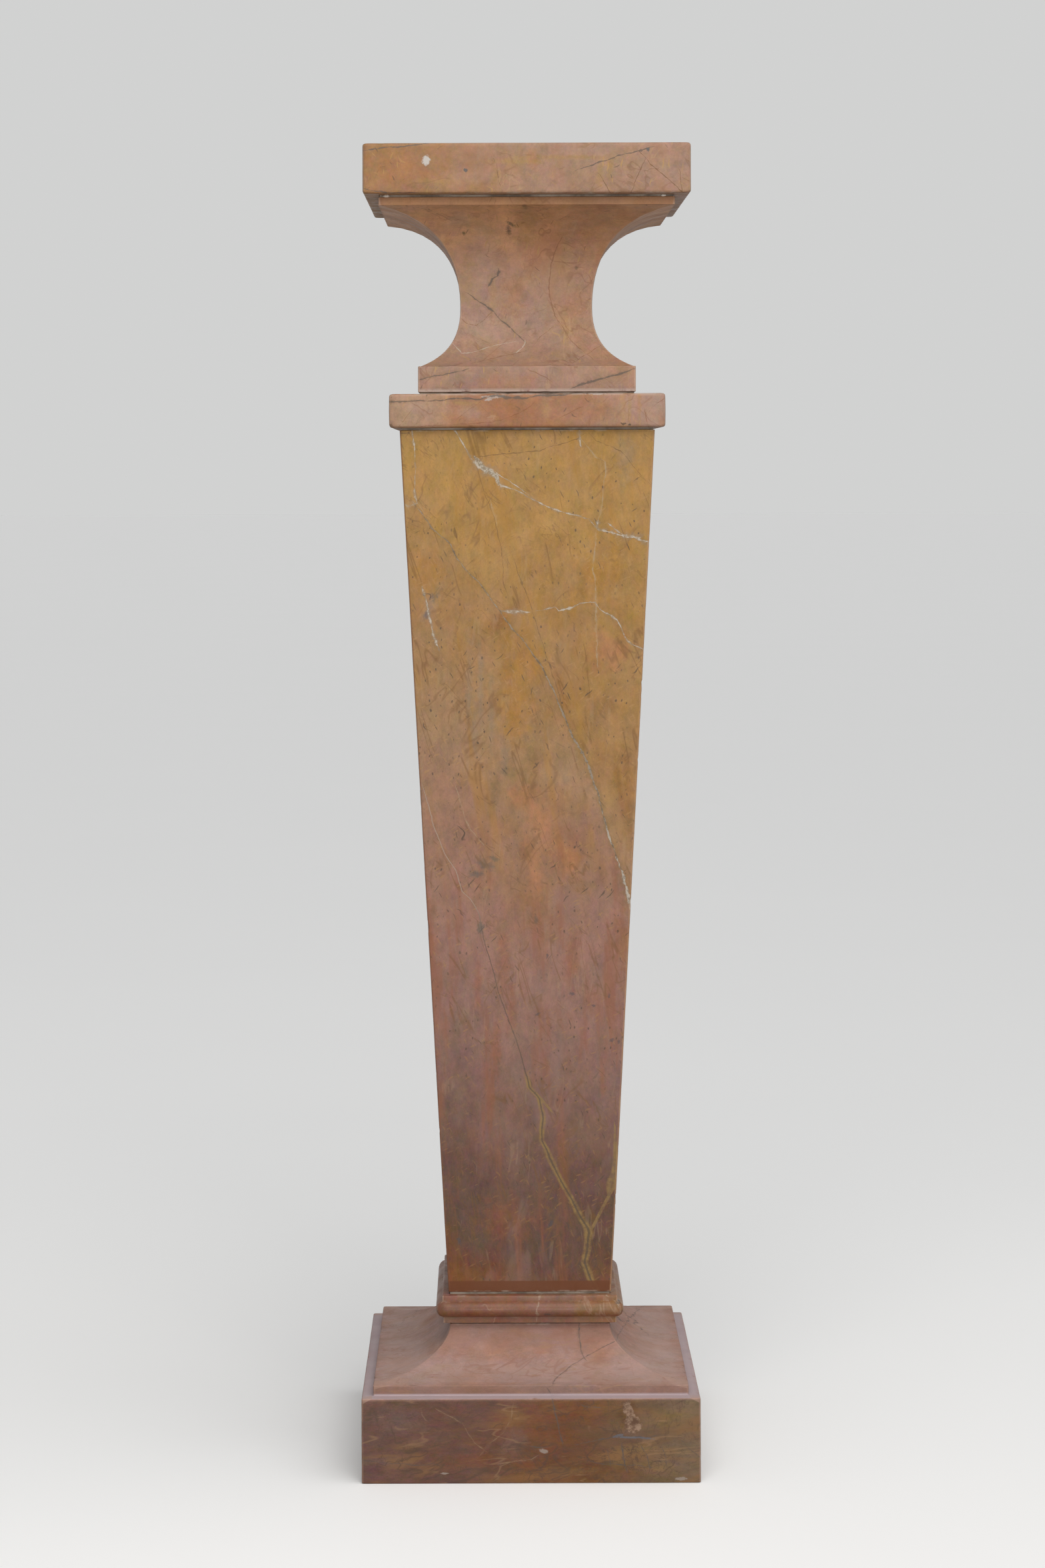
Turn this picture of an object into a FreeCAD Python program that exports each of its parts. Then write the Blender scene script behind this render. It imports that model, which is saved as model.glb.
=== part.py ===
import FreeCAD, Part
import os

import Sketcher

# A square marble pedestal: a plinth with a flared foot, a collar moulding, a shaft that widens
# upwards, a cap slab, a hollowed neck and a top slab. The stones stand on each other in thin
# beds of mortar, and steel dowels grouted into drilled sockets cross the joints.
# Millimetres, +Z up, the front faces -Y. The origin is the middle of the underside.

SIZES = {
    # plinth and flared foot, one stone. Insets and overhangs are counted on each side
    "plinth_width": 300,
    "plinth_height": 75,
    "foot_band_inset": 10,
    "foot_band_height": 9,
    "flare_top_inset": 1.25,
    "flare_height": 37.5,
    "flare_low_pull": 37,
    "flare_high_pull": 21,
    # collar moulding, which stands proud of the shaft's foot
    "collar_low_band_proud": 4.75,
    "collar_low_band_height": 5.6,
    "collar_round_proud": 11.25,
    "collar_round_height": 14.4,
    "collar_round_flat": 0.4,
    "collar_corner_extra": 0.8,
    "collar_high_band_proud": 5.75,
    "collar_high_band_height": 5,
    # shaft
    "shaft_foot_width": 147.5,
    "shaft_head_width": 228.5,
    "shaft_height": 780.5,
    # cap slab
    "cap_overhang": 9.25,
    "cap_height": 30.5,
    # neck, hollowed on all four sides between a base block and a thin band
    "neck_height": 172.5,
    "neck_base_inset": 25.5,
    "neck_base_height": 23,
    "neck_ledge": 2,
    "neck_waist_width": 120,
    "neck_waist_rise": 54,
    "neck_low_waist_pull": 32,
    "neck_low_edge_pull": 19,
    "neck_low_edge_rise": 8,
    "neck_high_waist_pull": 28,
    "neck_high_edge_pull": 65,
    "neck_high_edge_drop": 10,
    "neck_band_inset": 13.5,
    "neck_band_height": 7,
    # top slab
    "top_width": 291,
    "top_height": 45,
    # rounded arrises
    "arris_radius": 1.5,
    "slab_arris_radius": 3,
    # mortar beds, dowels and their sockets
    "bed_thickness": 2,
    "bed_recess": 1.5,
    "dowel_diameter": 12,
    "dowel_grip": 60,
    "dowel_end_chamfer": 1,
    "top_dowel_grip": 25,
    "grout_thickness": 2,
    "socket_end_gap": 2,
}

CUTTER_MARGIN = 20
TOLERANCE = 1e-4


class Point:
    """The numbers by which a sketch knows the points of its geometry."""

    START = 1
    END = 2
    CENTRE = 3
    ORIGIN = (-1, 1)


class Length:
    """A length in mm, with the formula over the sheet's cells that gives it."""

    def __init__(self, value, formula):
        self.value = value
        self.formula = formula

    def __add__(self, other):
        return Length(self.value + other.value, f"{self.formula} + {other.formula}")

    def __sub__(self, other):
        return Length(self.value - other.value, f"{self.formula} - ({other.formula})")

    def __neg__(self):
        return Length(-self.value, f"-({self.formula})")

    def __mul__(self, number):
        return Length(self.value * number, f"({self.formula}) * {number}")

    def half(self):
        return self * 0.5


FLOOR = Length(0, "0")
MARGIN = Length(CUTTER_MARGIN, str(CUTTER_MARGIN))


def size(name):
    return Length(SIZES[name], f"Sizes.{name}")


def smaller(one, other):
    return Length(min(one.value, other.value), f"min({one.formula}; {other.formula})")


def make_sheet(doc):
    sheet = doc.addObject("Spreadsheet::Sheet", "Sizes")
    for row, (name, value) in enumerate(SIZES.items(), start=1):
        sheet.set(f"A{row}", name)
        sheet.set(f"B{row}", str(value))
        sheet.setAlias(f"B{row}", name)
    doc.recompute()


# ---- sketches and features ----


def new_body(doc, name):
    body = doc.addObject("PartDesign::Body", name)
    body.Label = name
    return body


def origin_feature(body, role):
    return next(f for f in body.Origin.OriginFeatures if f.Role == role)


def new_sketch(body, name, plane, level=None):
    """A sketch on one of the body's own origin planes, raised by level along its normal."""
    sketch = body.newObject("Sketcher::SketchObject", f"{body.Name}_{name}")
    sketch.AttachmentSupport = [(origin_feature(body, plane), "")]
    sketch.MapMode = "FlatFace"
    if level is not None:
        sketch.setExpression("AttachmentOffset.Base.z", level.formula)
    return sketch


def pin_point(sketch, geometry, point, across, up):
    """Hold a point of the sketch at its distances from the sketch's origin."""
    for kind, length in (("DistanceX", across), ("DistanceY", up)):
        constraint = Sketcher.Constraint(kind, *Point.ORIGIN, geometry, point, length.value)
        index = sketch.addConstraint(constraint)
        sketch.setExpression(f"Constraints[{index}]", length.formula)


def vector(corner):
    return FreeCAD.Vector(corner[0].value, corner[1].value, 0)


def draw_outline(sketch, corners, curves=None):
    """A closed outline through the corners, each an (across, up) pair. Curves maps a corner's
    number to the two points that pull the side that starts there into a cubic curve."""
    curves = curves or {}
    ends = corners[1:] + corners[:1]
    sides = []
    for number, (begin, end) in enumerate(zip(corners, ends)):
        if number in curves:
            poles = [vector(p) for p in (begin, *curves[number], end)]
            degree = len(poles) - 1
            side = Part.BSplineCurve(poles, None, None, False, degree, None, False)
        else:
            side = Part.LineSegment(vector(begin), vector(end))
        sides.append(sketch.addGeometry(side))
    for side, following, corner in zip(sides, sides[1:] + sides[:1], corners):
        joined = Sketcher.Constraint("Coincident", side, Point.END, following, Point.START)
        sketch.addConstraint(joined)
        pin_point(sketch, side, Point.START, *corner)
    for number, pulls in curves.items():
        first_pole = len(sketch.Geometry)
        sketch.exposeInternalGeometry(sides[number])
        for place, pull in enumerate(pulls, start=1):
            pin_point(sketch, first_pole + place, Point.CENTRE, *pull)


def square_sketch(body, name, width, level=None):
    sketch = new_sketch(body, name, "XY_Plane", level)
    near, far = -width.half(), width.half()
    draw_outline(sketch, [(near, near), (far, near), (far, far), (near, far)])
    return sketch


def circle_sketch(body, name, diameter, level=None):
    sketch = new_sketch(body, name, "XY_Plane", level)
    circle = Part.Circle(FreeCAD.Vector(0, 0, 0), FreeCAD.Vector(0, 0, 1), diameter.value / 2)
    number = sketch.addGeometry(circle)
    centred = Sketcher.Constraint("Coincident", number, Point.CENTRE, *Point.ORIGIN)
    sketch.addConstraint(centred)
    index = sketch.addConstraint(Sketcher.Constraint("Diameter", number, diameter.value))
    sketch.setExpression(f"Constraints[{index}]", diameter.formula)
    return sketch


def pad(body, name, sketch, height, downward=False):
    feature = body.newObject("PartDesign::Pad", f"{body.Name}_{name}")
    feature.Profile = sketch
    feature.setExpression("Length", height.formula)
    feature.Reversed = downward
    body.Document.recompute()
    return feature


def check_cut(feature, before):
    after = feature.Shape.Volume
    if after >= before:
        raise RuntimeError(f"{feature.Name} cuts nothing")


def drill(body, name, diameter, depth, level=None, upward=False):
    """A round socket from the level down into the stone, or up into it."""
    before = body.Shape.Volume
    sketch = circle_sketch(body, f"{name}_circle", diameter, level)
    feature = body.newObject("PartDesign::Pocket", f"{body.Name}_{name}")
    feature.Profile = sketch
    feature.setExpression("Length", depth.formula)
    feature.Reversed = upward
    body.Document.recompute()
    check_cut(feature, before)


def mirrored(points):
    return [(-across, up) for across, up in points]


def run_moulding(body, name, run, corners, curves=None):
    """Cut the outline away along two opposite sides of a square stone, then along the others."""
    curves = curves or {}
    other_curves = {number: mirrored(pulls) for number, pulls in curves.items()}
    for axis, plane in (("y", "XZ_Plane"), ("x", "YZ_Plane")):
        before = body.Shape.Volume
        sketch = new_sketch(body, f"{name}_outline_{axis}", plane)
        draw_outline(sketch, corners, curves)
        draw_outline(sketch, mirrored(corners), other_curves)
        cut = body.newObject("PartDesign::Pocket", f"{body.Name}_{name}_cut_{axis}")
        cut.Profile = sketch
        cut.setExpression("Length", run.formula)
        cut.Midplane = True
        body.Document.recompute()
        check_cut(cut, before)


def edges_where(shape, wanted):
    return [f"Edge{n}" for n, edge in enumerate(shape.Edges, start=1) if wanted(edge)]


def upright_edges(shape, half_width):
    """The upright corner edges of a square stone where it is this wide."""

    def wanted(edge):
        box = edge.BoundBox
        upright = max(box.XLength, box.YLength) < TOLERANCE
        at_x = abs(abs(box.XMax) - half_width) < TOLERANCE
        at_y = abs(abs(box.YMax) - half_width) < TOLERANCE
        return upright and at_x and at_y

    return edges_where(shape, wanted)


def rim_edges(shape, half_width, level):
    """The level edges round a square stone at this half width and height."""

    def wanted(edge):
        box = edge.BoundBox
        flat = max(abs(box.ZMin - level), abs(box.ZMax - level)) < TOLERANCE
        across_x = box.XLength < TOLERANCE and abs(abs(box.XMax) - half_width) < TOLERANCE
        across_y = box.YLength < TOLERANCE and abs(abs(box.YMax) - half_width) < TOLERANCE
        return flat and (across_x or across_y)

    return edges_where(shape, wanted)


def level_edges(shape):
    return edges_where(shape, lambda edge: edge.BoundBox.ZLength < TOLERANCE)


def long_edges(shape, least):
    return edges_where(shape, lambda edge: edge.Length > least)


def round_edges(body, name, edges, radius):
    if not edges:
        raise RuntimeError(f"{body.Name}: no edges for {name}")
    base = body.Tip
    feature = body.newObject("PartDesign::Fillet", f"{body.Name}_{name}")
    feature.Base = (base, edges)
    feature.setExpression("Radius", radius.formula)
    body.Document.recompute()


# ---- widths and heights that several pieces share ----


def foot_band_width():
    return size("plinth_width") - size("foot_band_inset") * 2


def flare_top_width():
    return size("shaft_foot_width") - size("flare_top_inset") * 2


def collar_width(part):
    return size("shaft_foot_width") + size(f"collar_{part}_proud") * 2


def cap_width():
    return size("shaft_head_width") + size("cap_overhang") * 2


def neck_base_width():
    return cap_width() - size("neck_base_inset") * 2


def neck_band_width():
    return size("top_width") - size("neck_band_inset") * 2


def plinth_stone_height():
    return size("plinth_height") + size("foot_band_height") + size("flare_height")


def collar_height():
    bands = size("collar_low_band_height") + size("collar_high_band_height")
    return bands + size("collar_round_height")


def socket_diameter():
    return size("dowel_diameter") + size("grout_thickness") * 2


def blind_socket_depth(grip):
    """A socket over a dowel's upper end, where the dowel stops short of the stone."""
    return grip + size("socket_end_gap")


# ---- stones ----


def make_plinth(doc):
    body = new_body(doc, "plinth")
    width = size("plinth_width")
    ledge = size("plinth_height")
    band_top = ledge + size("foot_band_height")
    top = plinth_stone_height()
    pad(body, "block", square_sketch(body, "plan", width), top)

    outside = width.half() + MARGIN
    above = top + MARGIN
    band_side = foot_band_width().half()
    throat = flare_top_width().half()
    corners = [
        (throat, top),
        (throat, above),
        (outside, above),
        (outside, ledge),
        (band_side, ledge),
        (band_side, band_top),
    ]
    flare_pulls = (
        (band_side - size("flare_low_pull"), band_top),
        (throat, top - size("flare_high_pull")),
    )
    run_moulding(body, "flare", outside * 2, corners, {5: flare_pulls})

    shape = body.Tip.Shape
    block_edges = upright_edges(shape, width.value / 2)
    block_edges += rim_edges(shape, width.value / 2, ledge.value)
    round_edges(body, "block_arrises", block_edges, size("arris_radius"))
    band_edges = upright_edges(body.Tip.Shape, band_side.value)
    round_edges(body, "band_arrises", band_edges, size("arris_radius"))
    drill(body, "socket", socket_diameter(), size("dowel_grip"), top)
    return body


def make_collar(doc):
    body = new_body(doc, "collar")
    low = size("collar_low_band_height")
    round_height = size("collar_round_height")
    round_width = collar_width("round")
    round_radius = (round_height - size("collar_round_flat")).half()
    round_sketch = square_sketch(body, "round_plan", round_width, low)
    pad(body, "round", round_sketch, round_height)
    corner_radius = round_radius + size("collar_corner_extra")
    corners = upright_edges(body.Tip.Shape, round_width.value / 2)
    round_edges(body, "round_corners", corners, corner_radius)
    round_edges(body, "round_profile", level_edges(body.Tip.Shape), round_radius)

    for name, level, part in (
        ("low_band", None, low),
        ("high_band", low + round_height, size("collar_high_band_height")),
    ):
        band = square_sketch(body, f"{name}_plan", collar_width(name), level)
        pad(body, name, band, part)
    high_side = collar_width("high_band").value / 2
    edges = upright_edges(body.Tip.Shape, high_side)
    edges += rim_edges(body.Tip.Shape, high_side, collar_height().value)
    round_edges(body, "high_arrises", edges, size("arris_radius"))
    drill(body, "dowel_hole", socket_diameter(), collar_height(), collar_height())
    return body


def make_shaft(doc):
    body = new_body(doc, "shaft")
    height = size("shaft_height")
    foot_side = size("shaft_foot_width").half()
    head_side = size("shaft_head_width").half()
    pad(body, "block", square_sketch(body, "plan", size("shaft_head_width")), height)
    outside = head_side + MARGIN
    corners = [
        (foot_side, -MARGIN),
        (foot_side, FLOOR),
        (head_side, height),
        (outside, height),
        (outside, -MARGIN),
    ]
    run_moulding(body, "taper", outside * 2, corners)
    edges = long_edges(body.Tip.Shape, height.value - TOLERANCE)
    round_edges(body, "arrises", edges, size("arris_radius"))
    depth = blind_socket_depth(size("dowel_grip"))
    drill(body, "foot_socket", socket_diameter(), depth, upward=True)
    drill(body, "head_socket", socket_diameter(), size("dowel_grip"), height)
    return body


def make_slab(doc, name, width, height):
    """A square slab with all its arrises rounded."""
    body = new_body(doc, name)
    pad(body, "slab", square_sketch(body, "plan", width), height)
    all_edges = edges_where(body.Tip.Shape, lambda edge: True)
    round_edges(body, "arrises", all_edges, size("slab_arris_radius"))
    return body


def make_cap_slab(doc):
    height = size("cap_height")
    body = make_slab(doc, "cap_slab", cap_width(), height)
    drill(body, "dowel_hole", socket_diameter(), height, height)
    return body


def make_top_slab(doc):
    body = make_slab(doc, "top_slab", size("top_width"), size("top_height"))
    depth = blind_socket_depth(size("top_dowel_grip"))
    drill(body, "socket", socket_diameter(), depth, upward=True)
    return body


def make_neck(doc):
    body = new_body(doc, "neck")
    height = size("neck_height")
    band_side = neck_band_width().half()
    base_side = neck_base_width().half()
    base_top = size("neck_base_height")
    band_foot = height - size("neck_band_height")
    waist = size("neck_waist_width").half()
    waist_level = base_top + size("neck_waist_rise")
    ledge_end = base_side - size("neck_ledge")
    pad(body, "block", square_sketch(body, "plan", neck_band_width()), height)

    outside = band_side + MARGIN
    corners = [
        (base_side, -MARGIN),
        (base_side, base_top),
        (ledge_end, base_top),
        (waist, waist_level),
        (band_side, band_foot),
        (outside, band_foot),
        (outside, -MARGIN),
    ]
    low_edge_pull = ledge_end - size("neck_low_edge_pull")
    low_pulls = (
        (low_edge_pull, base_top + size("neck_low_edge_rise")),
        (waist, waist_level - size("neck_low_waist_pull")),
    )
    high_edge_pull = band_side - size("neck_high_edge_pull")
    high_pulls = (
        (waist, waist_level + size("neck_high_waist_pull")),
        (high_edge_pull, band_foot - size("neck_high_edge_drop")),
    )
    run_moulding(body, "hollow", outside * 2, corners, {2: low_pulls, 3: high_pulls})

    shape = body.Tip.Shape
    base_edges = upright_edges(shape, base_side.value)
    base_edges += rim_edges(shape, base_side.value, base_top.value)
    round_edges(body, "base_arrises", base_edges, size("arris_radius"))
    band_edges = upright_edges(body.Tip.Shape, band_side.value)
    round_edges(body, "band_arrises", band_edges, size("arris_radius"))
    depth = blind_socket_depth(size("dowel_grip"))
    drill(body, "foot_socket", socket_diameter(), depth, upward=True)
    drill(body, "head_socket", socket_diameter(), size("dowel_grip"), height)
    return body


# ---- mortar and dowels ----


def make_bed(doc, name, width, grout_down=None, grout_up=None):
    """A bed of mortar, in one with the grout round the dowel below and above it."""
    body = new_body(doc, name)
    thickness = size("bed_thickness")
    bed_width = width - size("bed_recess") * 2
    pad(body, "bed", square_sketch(body, "plan", bed_width), thickness)
    if grout_down is not None:
        circle = circle_sketch(body, "grout_down_circle", socket_diameter())
        pad(body, "grout_down", circle, grout_down, downward=True)
    if grout_up is not None:
        circle = circle_sketch(body, "grout_up_circle", socket_diameter(), thickness)
        pad(body, "grout_up", circle, grout_up)
    before = body.Shape.Volume
    bore = body.newObject("PartDesign::Pocket", f"{name}_bore")
    bore.Profile = circle_sketch(body, "bore_circle", size("dowel_diameter"))
    bore.Type = "ThroughAll"
    bore.Midplane = True
    doc.recompute()
    check_cut(bore, before)
    return body


def make_dowel(doc, name, length):
    body = new_body(doc, name)
    pad(body, "bar", circle_sketch(body, "circle", size("dowel_diameter")), length)
    bar = body.Tip
    chamfer = body.newObject("PartDesign::Chamfer", f"{name}_ends")
    chamfer.Base = (bar, level_edges(bar.Shape))
    chamfer.setExpression("Size", size("dowel_end_chamfer").formula)
    doc.recompute()
    return body


def place_above(piece, below, rise):
    """Set the piece's underside this far above the underside of another piece."""
    piece.setExpression(
        "Placement.Base.z",
        f"{below.Name}.Placement.Base.z + ({rise.formula}) * 1 mm",
    )


def build(doc):
    make_sheet(doc)
    bed = size("bed_thickness")
    grip = size("dowel_grip")
    top_grip = size("top_dowel_grip")

    plinth = make_plinth(doc)
    collar = make_collar(doc)
    shaft = make_shaft(doc)
    cap_slab = make_cap_slab(doc)
    neck = make_neck(doc)
    top_slab = make_top_slab(doc)

    collar_seat = smaller(flare_top_width(), collar_width("low_band"))
    shaft_seat = smaller(collar_width("high_band"), size("shaft_foot_width"))
    cap_seat = smaller(size("shaft_head_width"), cap_width())
    neck_seat = smaller(cap_width(), neck_base_width())
    top_seat = smaller(neck_band_width(), size("top_width"))
    collar_bed = make_bed(doc, "mortar_under_collar", collar_seat, grip, collar_height())
    shaft_bed = make_bed(doc, "mortar_under_shaft", shaft_seat, grout_up=grip)
    cap_bed = make_bed(doc, "mortar_under_cap", cap_seat, grip, size("cap_height"))
    neck_bed = make_bed(doc, "mortar_under_neck", neck_seat, grout_up=grip)
    top_bed = make_bed(doc, "mortar_under_top", top_seat, grip, top_grip)

    foot_dowel = make_dowel(doc, "dowel_foot", grip * 2 + bed * 2 + collar_height())
    head_dowel = make_dowel(doc, "dowel_head", grip * 2 + bed * 2 + size("cap_height"))
    top_dowel = make_dowel(doc, "dowel_top", grip + bed + top_grip)

    stack = [
        (collar_bed, plinth, plinth_stone_height()),
        (collar, collar_bed, bed),
        (shaft_bed, collar, collar_height()),
        (shaft, shaft_bed, bed),
        (cap_bed, shaft, size("shaft_height")),
        (cap_slab, cap_bed, bed),
        (neck_bed, cap_slab, size("cap_height")),
        (neck, neck_bed, bed),
        (top_bed, neck, size("neck_height")),
        (top_slab, top_bed, bed),
        (foot_dowel, collar_bed, -grip),
        (head_dowel, cap_bed, -grip),
        (top_dowel, top_bed, -grip),
    ]
    for piece, below, rise in stack:
        place_above(piece, below, rise)
    doc.recompute()
    return [plinth] + [piece for piece, _, _ in stack]


def check(doc, pieces):
    for thing in doc.Objects:
        if "Invalid" in thing.State or "Error" in thing.State:
            raise RuntimeError(f"{thing.Name} failed: {thing.State}")
    for piece in pieces:
        shape = piece.Shape
        if shape.isNull() or not shape.isValid() or len(shape.Solids) != 1:
            raise RuntimeError(f"{piece.Label} is not one valid solid")


def write(pieces):
    os.makedirs("parts", exist_ok=True)
    for piece in pieces:
        piece.Shape.exportStep(f"parts/{piece.Label}.step")
        box = piece.Shape.BoundBox
        print(f"{piece.Label}: {piece.Shape.Volume / 1000:.1f} cm3, z {box.ZMin:.1f} to {box.ZMax:.1f}")


document = FreeCAD.newDocument("pedestal")
made = build(document)
check(document, made)
write(made)
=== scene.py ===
import math

import bpy
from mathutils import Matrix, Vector, noise


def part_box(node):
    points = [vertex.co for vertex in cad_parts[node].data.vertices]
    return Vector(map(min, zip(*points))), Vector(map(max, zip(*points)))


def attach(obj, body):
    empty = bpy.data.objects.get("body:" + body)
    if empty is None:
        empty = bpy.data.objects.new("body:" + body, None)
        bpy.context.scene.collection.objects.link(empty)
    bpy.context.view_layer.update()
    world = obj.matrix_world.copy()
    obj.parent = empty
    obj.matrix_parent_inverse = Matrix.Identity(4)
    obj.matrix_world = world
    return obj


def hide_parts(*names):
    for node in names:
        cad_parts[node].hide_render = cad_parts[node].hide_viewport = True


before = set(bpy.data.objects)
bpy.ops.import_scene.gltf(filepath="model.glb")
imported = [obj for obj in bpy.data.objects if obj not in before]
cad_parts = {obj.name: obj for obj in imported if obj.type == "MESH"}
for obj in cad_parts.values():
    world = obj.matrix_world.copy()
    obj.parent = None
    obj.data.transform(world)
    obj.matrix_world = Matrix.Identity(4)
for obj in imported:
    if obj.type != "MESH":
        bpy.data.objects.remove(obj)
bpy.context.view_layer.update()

# ---- the photograph's view: pixels of the 1568 x 2352 picture, and metres ----

PHOTO_LONG_SIDE = 2352
PHOTO_CENTRE = (784, 1176)
FOCAL_PX = 4993
HORIZON_ROW = 700
VANISHING_COLUMN = 745
SHIFT_TRIM_PX = 4
CAMERA_AT = Vector((-0.030, -3.090, 0.8982))
CAMERA_ROLL = math.radians(0.2)
AXIS_TOP = (790, 215)
AXIS_FOOT = (797, 2225)
SENSOR_MM = 36


def axis_column(row):
    """The column of the picture where the pedestal's middle is, at this row."""
    share = (row - AXIS_TOP[1]) / (AXIS_FOOT[1] - AXIS_TOP[1])
    return AXIS_TOP[0] + share * (AXIS_FOOT[0] - AXIS_TOP[0])


# ---- profiles: half width and height in mm, with the radius that rounds the corner ----

SOCKET = 8
SHARP = 0.4
ARRIS = 1.5
SLAB_ARRIS = 3
CURVE_STEPS = 14
ARC_STEPS = 4


def level_of(node):
    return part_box(node)[0].z * 1000


def cubic(start, pull_1, pull_2, end):
    """Points of a cubic curve, without its two ends."""
    points = []
    for step in range(1, CURVE_STEPS):
        t = step / CURVE_STEPS
        shares = ((1 - t) ** 3, 3 * t * (1 - t) ** 2, 3 * t * t * (1 - t), t**3)
        half = sum(s * p[0] for s, p in zip(shares, (start, pull_1, pull_2, end)))
        rise = sum(s * p[1] for s, p in zip(shares, (start, pull_1, pull_2, end)))
        points.append((half, rise, 0))
    return points


def arc(before, corner, after, radius):
    """Points that round a profile's corner to a radius, as far as its two sides allow."""
    here = Vector(corner[:2])
    back = Vector(before[:2]) - here
    on = Vector(after[:2]) - here
    angle = back.angle(on)
    reach = min(radius / math.tan(angle / 2), back.length * 0.45, on.length * 0.45)
    first = here + back.normalized() * reach
    last = here + on.normalized() * reach
    points = []
    for step in range(ARC_STEPS + 1):
        t = step / ARC_STEPS
        point = first * (1 - t) ** 2 + here * 2 * t * (1 - t) + last * t * t
        points.append((point.x, point.y, min(1, radius / ARRIS)))
    return points


def rounded(profile):
    """The profile's points as (half width, height, how open to wear: 1 on an arris)."""
    points = []
    for number, corner in enumerate(profile):
        inner = 0 < number < len(profile) - 1
        if inner and corner[2]:
            points += arc(profile[number - 1], corner, profile[number + 1], corner[2])
        else:
            points.append((corner[0], corner[1], 0))
    return points


def plinth_profile():
    flare = cubic((140, 84), (103, 84), (72.5, 100.5), (72.5, 121.5))
    band = [(150, 75, ARRIS), (140, 75, SHARP), (140, 84, 1.2)]
    return [(150, 0, 1), *band, *flare, (72.5, 121.5, SHARP)]


def collar_profile():
    bottom, torus_foot, torus_head, top = 0, 5.6, 20, 25
    reach, radius = 85, 7
    middle = reach - radius
    points = [(78.5, bottom, SHARP), (78.5, torus_foot, 0)]
    for step in range(1, 12):
        turn = math.pi * (step / 12 - 0.5)
        rise = (torus_foot + torus_head) / 2 + 7.2 * math.sin(turn)
        points.append((middle + radius * math.cos(turn), rise, 0))
    return points + [(79.5, torus_head, 0), (79.5, top, ARRIS)]


def shaft_profile():
    return [(73.75, 0, SHARP), (114.25, 780.5, SHARP)]


def cap_profile():
    return [(123.3, 0, SLAB_ARRIS), (123.5, 15, 0), (123.3, 30.5, SLAB_ARRIS)]


def neck_profile():
    low = cubic((96, 23), (77, 31), (60, 45), (60, 77))
    high = cubic((60, 77), (60, 105), (67, 155.5), (132, 165.5))
    foot = [(98, 0, SHARP), (98, 23, ARRIS), (96, 23, 0)]
    return [*foot, *low, (60, 77, 0), *high, (132, 165.5, SHARP), (132, 172.5, SHARP)]


def top_profile():
    return [(145.5, 0, SLAB_ARRIS), (145.5, 45, SLAB_ARRIS)]


class Stone:
    """One stone: its outline, its dowel sockets, and how finely its mesh is cut."""

    def __init__(self, name, profile, low_socket, high_socket, columns, row_step):
        self.name = name
        self.base = level_of(name)
        self.outline = [(h, self.base + z, r) for h, z, r in profile]
        self.low_socket = low_socket
        self.high_socket = high_socket
        self.columns = columns
        self.row_step = row_step
        self.foot = self.outline[0][1] / 1000
        self.head = self.outline[-1][1] / 1000

    def half_at(self, level):
        """Half the stone's width at a height, both in metres."""
        best = None
        for (h1, z1, _), (h2, z2, _) in zip(self.outline, self.outline[1:]):
            low, high = min(z1, z2) / 1000, max(z1, z2) / 1000
            if low - 1e-9 <= level <= high + 1e-9 and high > low:
                t = (level - z1 / 1000) / ((z2 - z1) / 1000)
                half = (h1 + (h2 - h1) * t) / 1000
                best = half if best is None else max(best, half)
        if best is None:
            end = self.outline[0] if level < self.foot else self.outline[-1]
            best = end[0] / 1000
        return best

    def on_front(self, column, row):
        """Where a pixel of the picture lies on the stone's front: x and z in metres."""
        level = (self.foot + self.head) / 2
        for _ in range(12):
            distance = -CAMERA_AT.y - self.half_at(level)
            level = CAMERA_AT.z - (row - HORIZON_ROW) * distance / FOCAL_PX
            level = min(max(level, self.foot), self.head)
        return (column - axis_column(row)) * distance / FOCAL_PX, level

    def pixel_at(self, level):
        """The size in metres of one pixel of the picture, on the stone's front."""
        return (-CAMERA_AT.y - self.half_at(level)) / FOCAL_PX


STONES = {
    "plinth": Stone("plinth", plinth_profile(), None, 60, 96, 3),
    "collar": Stone("collar", collar_profile(), "through", "through", 56, 3),
    "shaft": Stone("shaft", shaft_profile(), 62, 60, 16, 2.5),
    "cap_slab": Stone("cap_slab", cap_profile(), "through", "through", 80, 3),
    "neck": Stone("neck", neck_profile(), 62, 60, 64, 3),
    "top_slab": Stone("top_slab", top_profile(), 27, None, 96, 3),
}

# ---- meshes ----

CORNER_STEPS = 4
CORNER_RADIUS = 1.5
TORUS_CORNER_RADIUS = 7.8


def corner_radius(name, half):
    """How far the square's corners are rounded in plan, in mm."""
    if name == "collar" and half > 79.6:
        return max(1, TORUS_CORNER_RADIUS - (85 - half))
    if name in ("cap_slab", "top_slab"):
        return SLAB_ARRIS
    return CORNER_RADIUS if name != "neck" else 1


def square_ring(half, radius, columns):
    """Points round a square with rounded corners: x, y and 1 where it is a corner."""
    points = []
    flat = half - radius
    for quarter in range(4):
        turn = math.radians(90 * quarter)
        for step in range(CORNER_STEPS + 1):
            angle = turn + math.radians(90 * step / CORNER_STEPS)
            middle_x = flat * (1 if quarter in (0, 3) else -1)
            middle_y = flat * (1 if quarter < 2 else -1)
            x = middle_x + radius * math.cos(angle)
            y = middle_y + radius * math.sin(angle)
            points.append((x, y, 1))
        x_side, y_side = points[-1][:2]
        along = (Vector((-1, 0)), Vector((0, -1)), Vector((1, 0)), Vector((0, 1)))[quarter]
        for column in range(1, columns):
            run = 2 * flat * column / columns
            points.append((x_side + along.x * run, y_side + along.y * run, 0))
    return points


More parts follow.
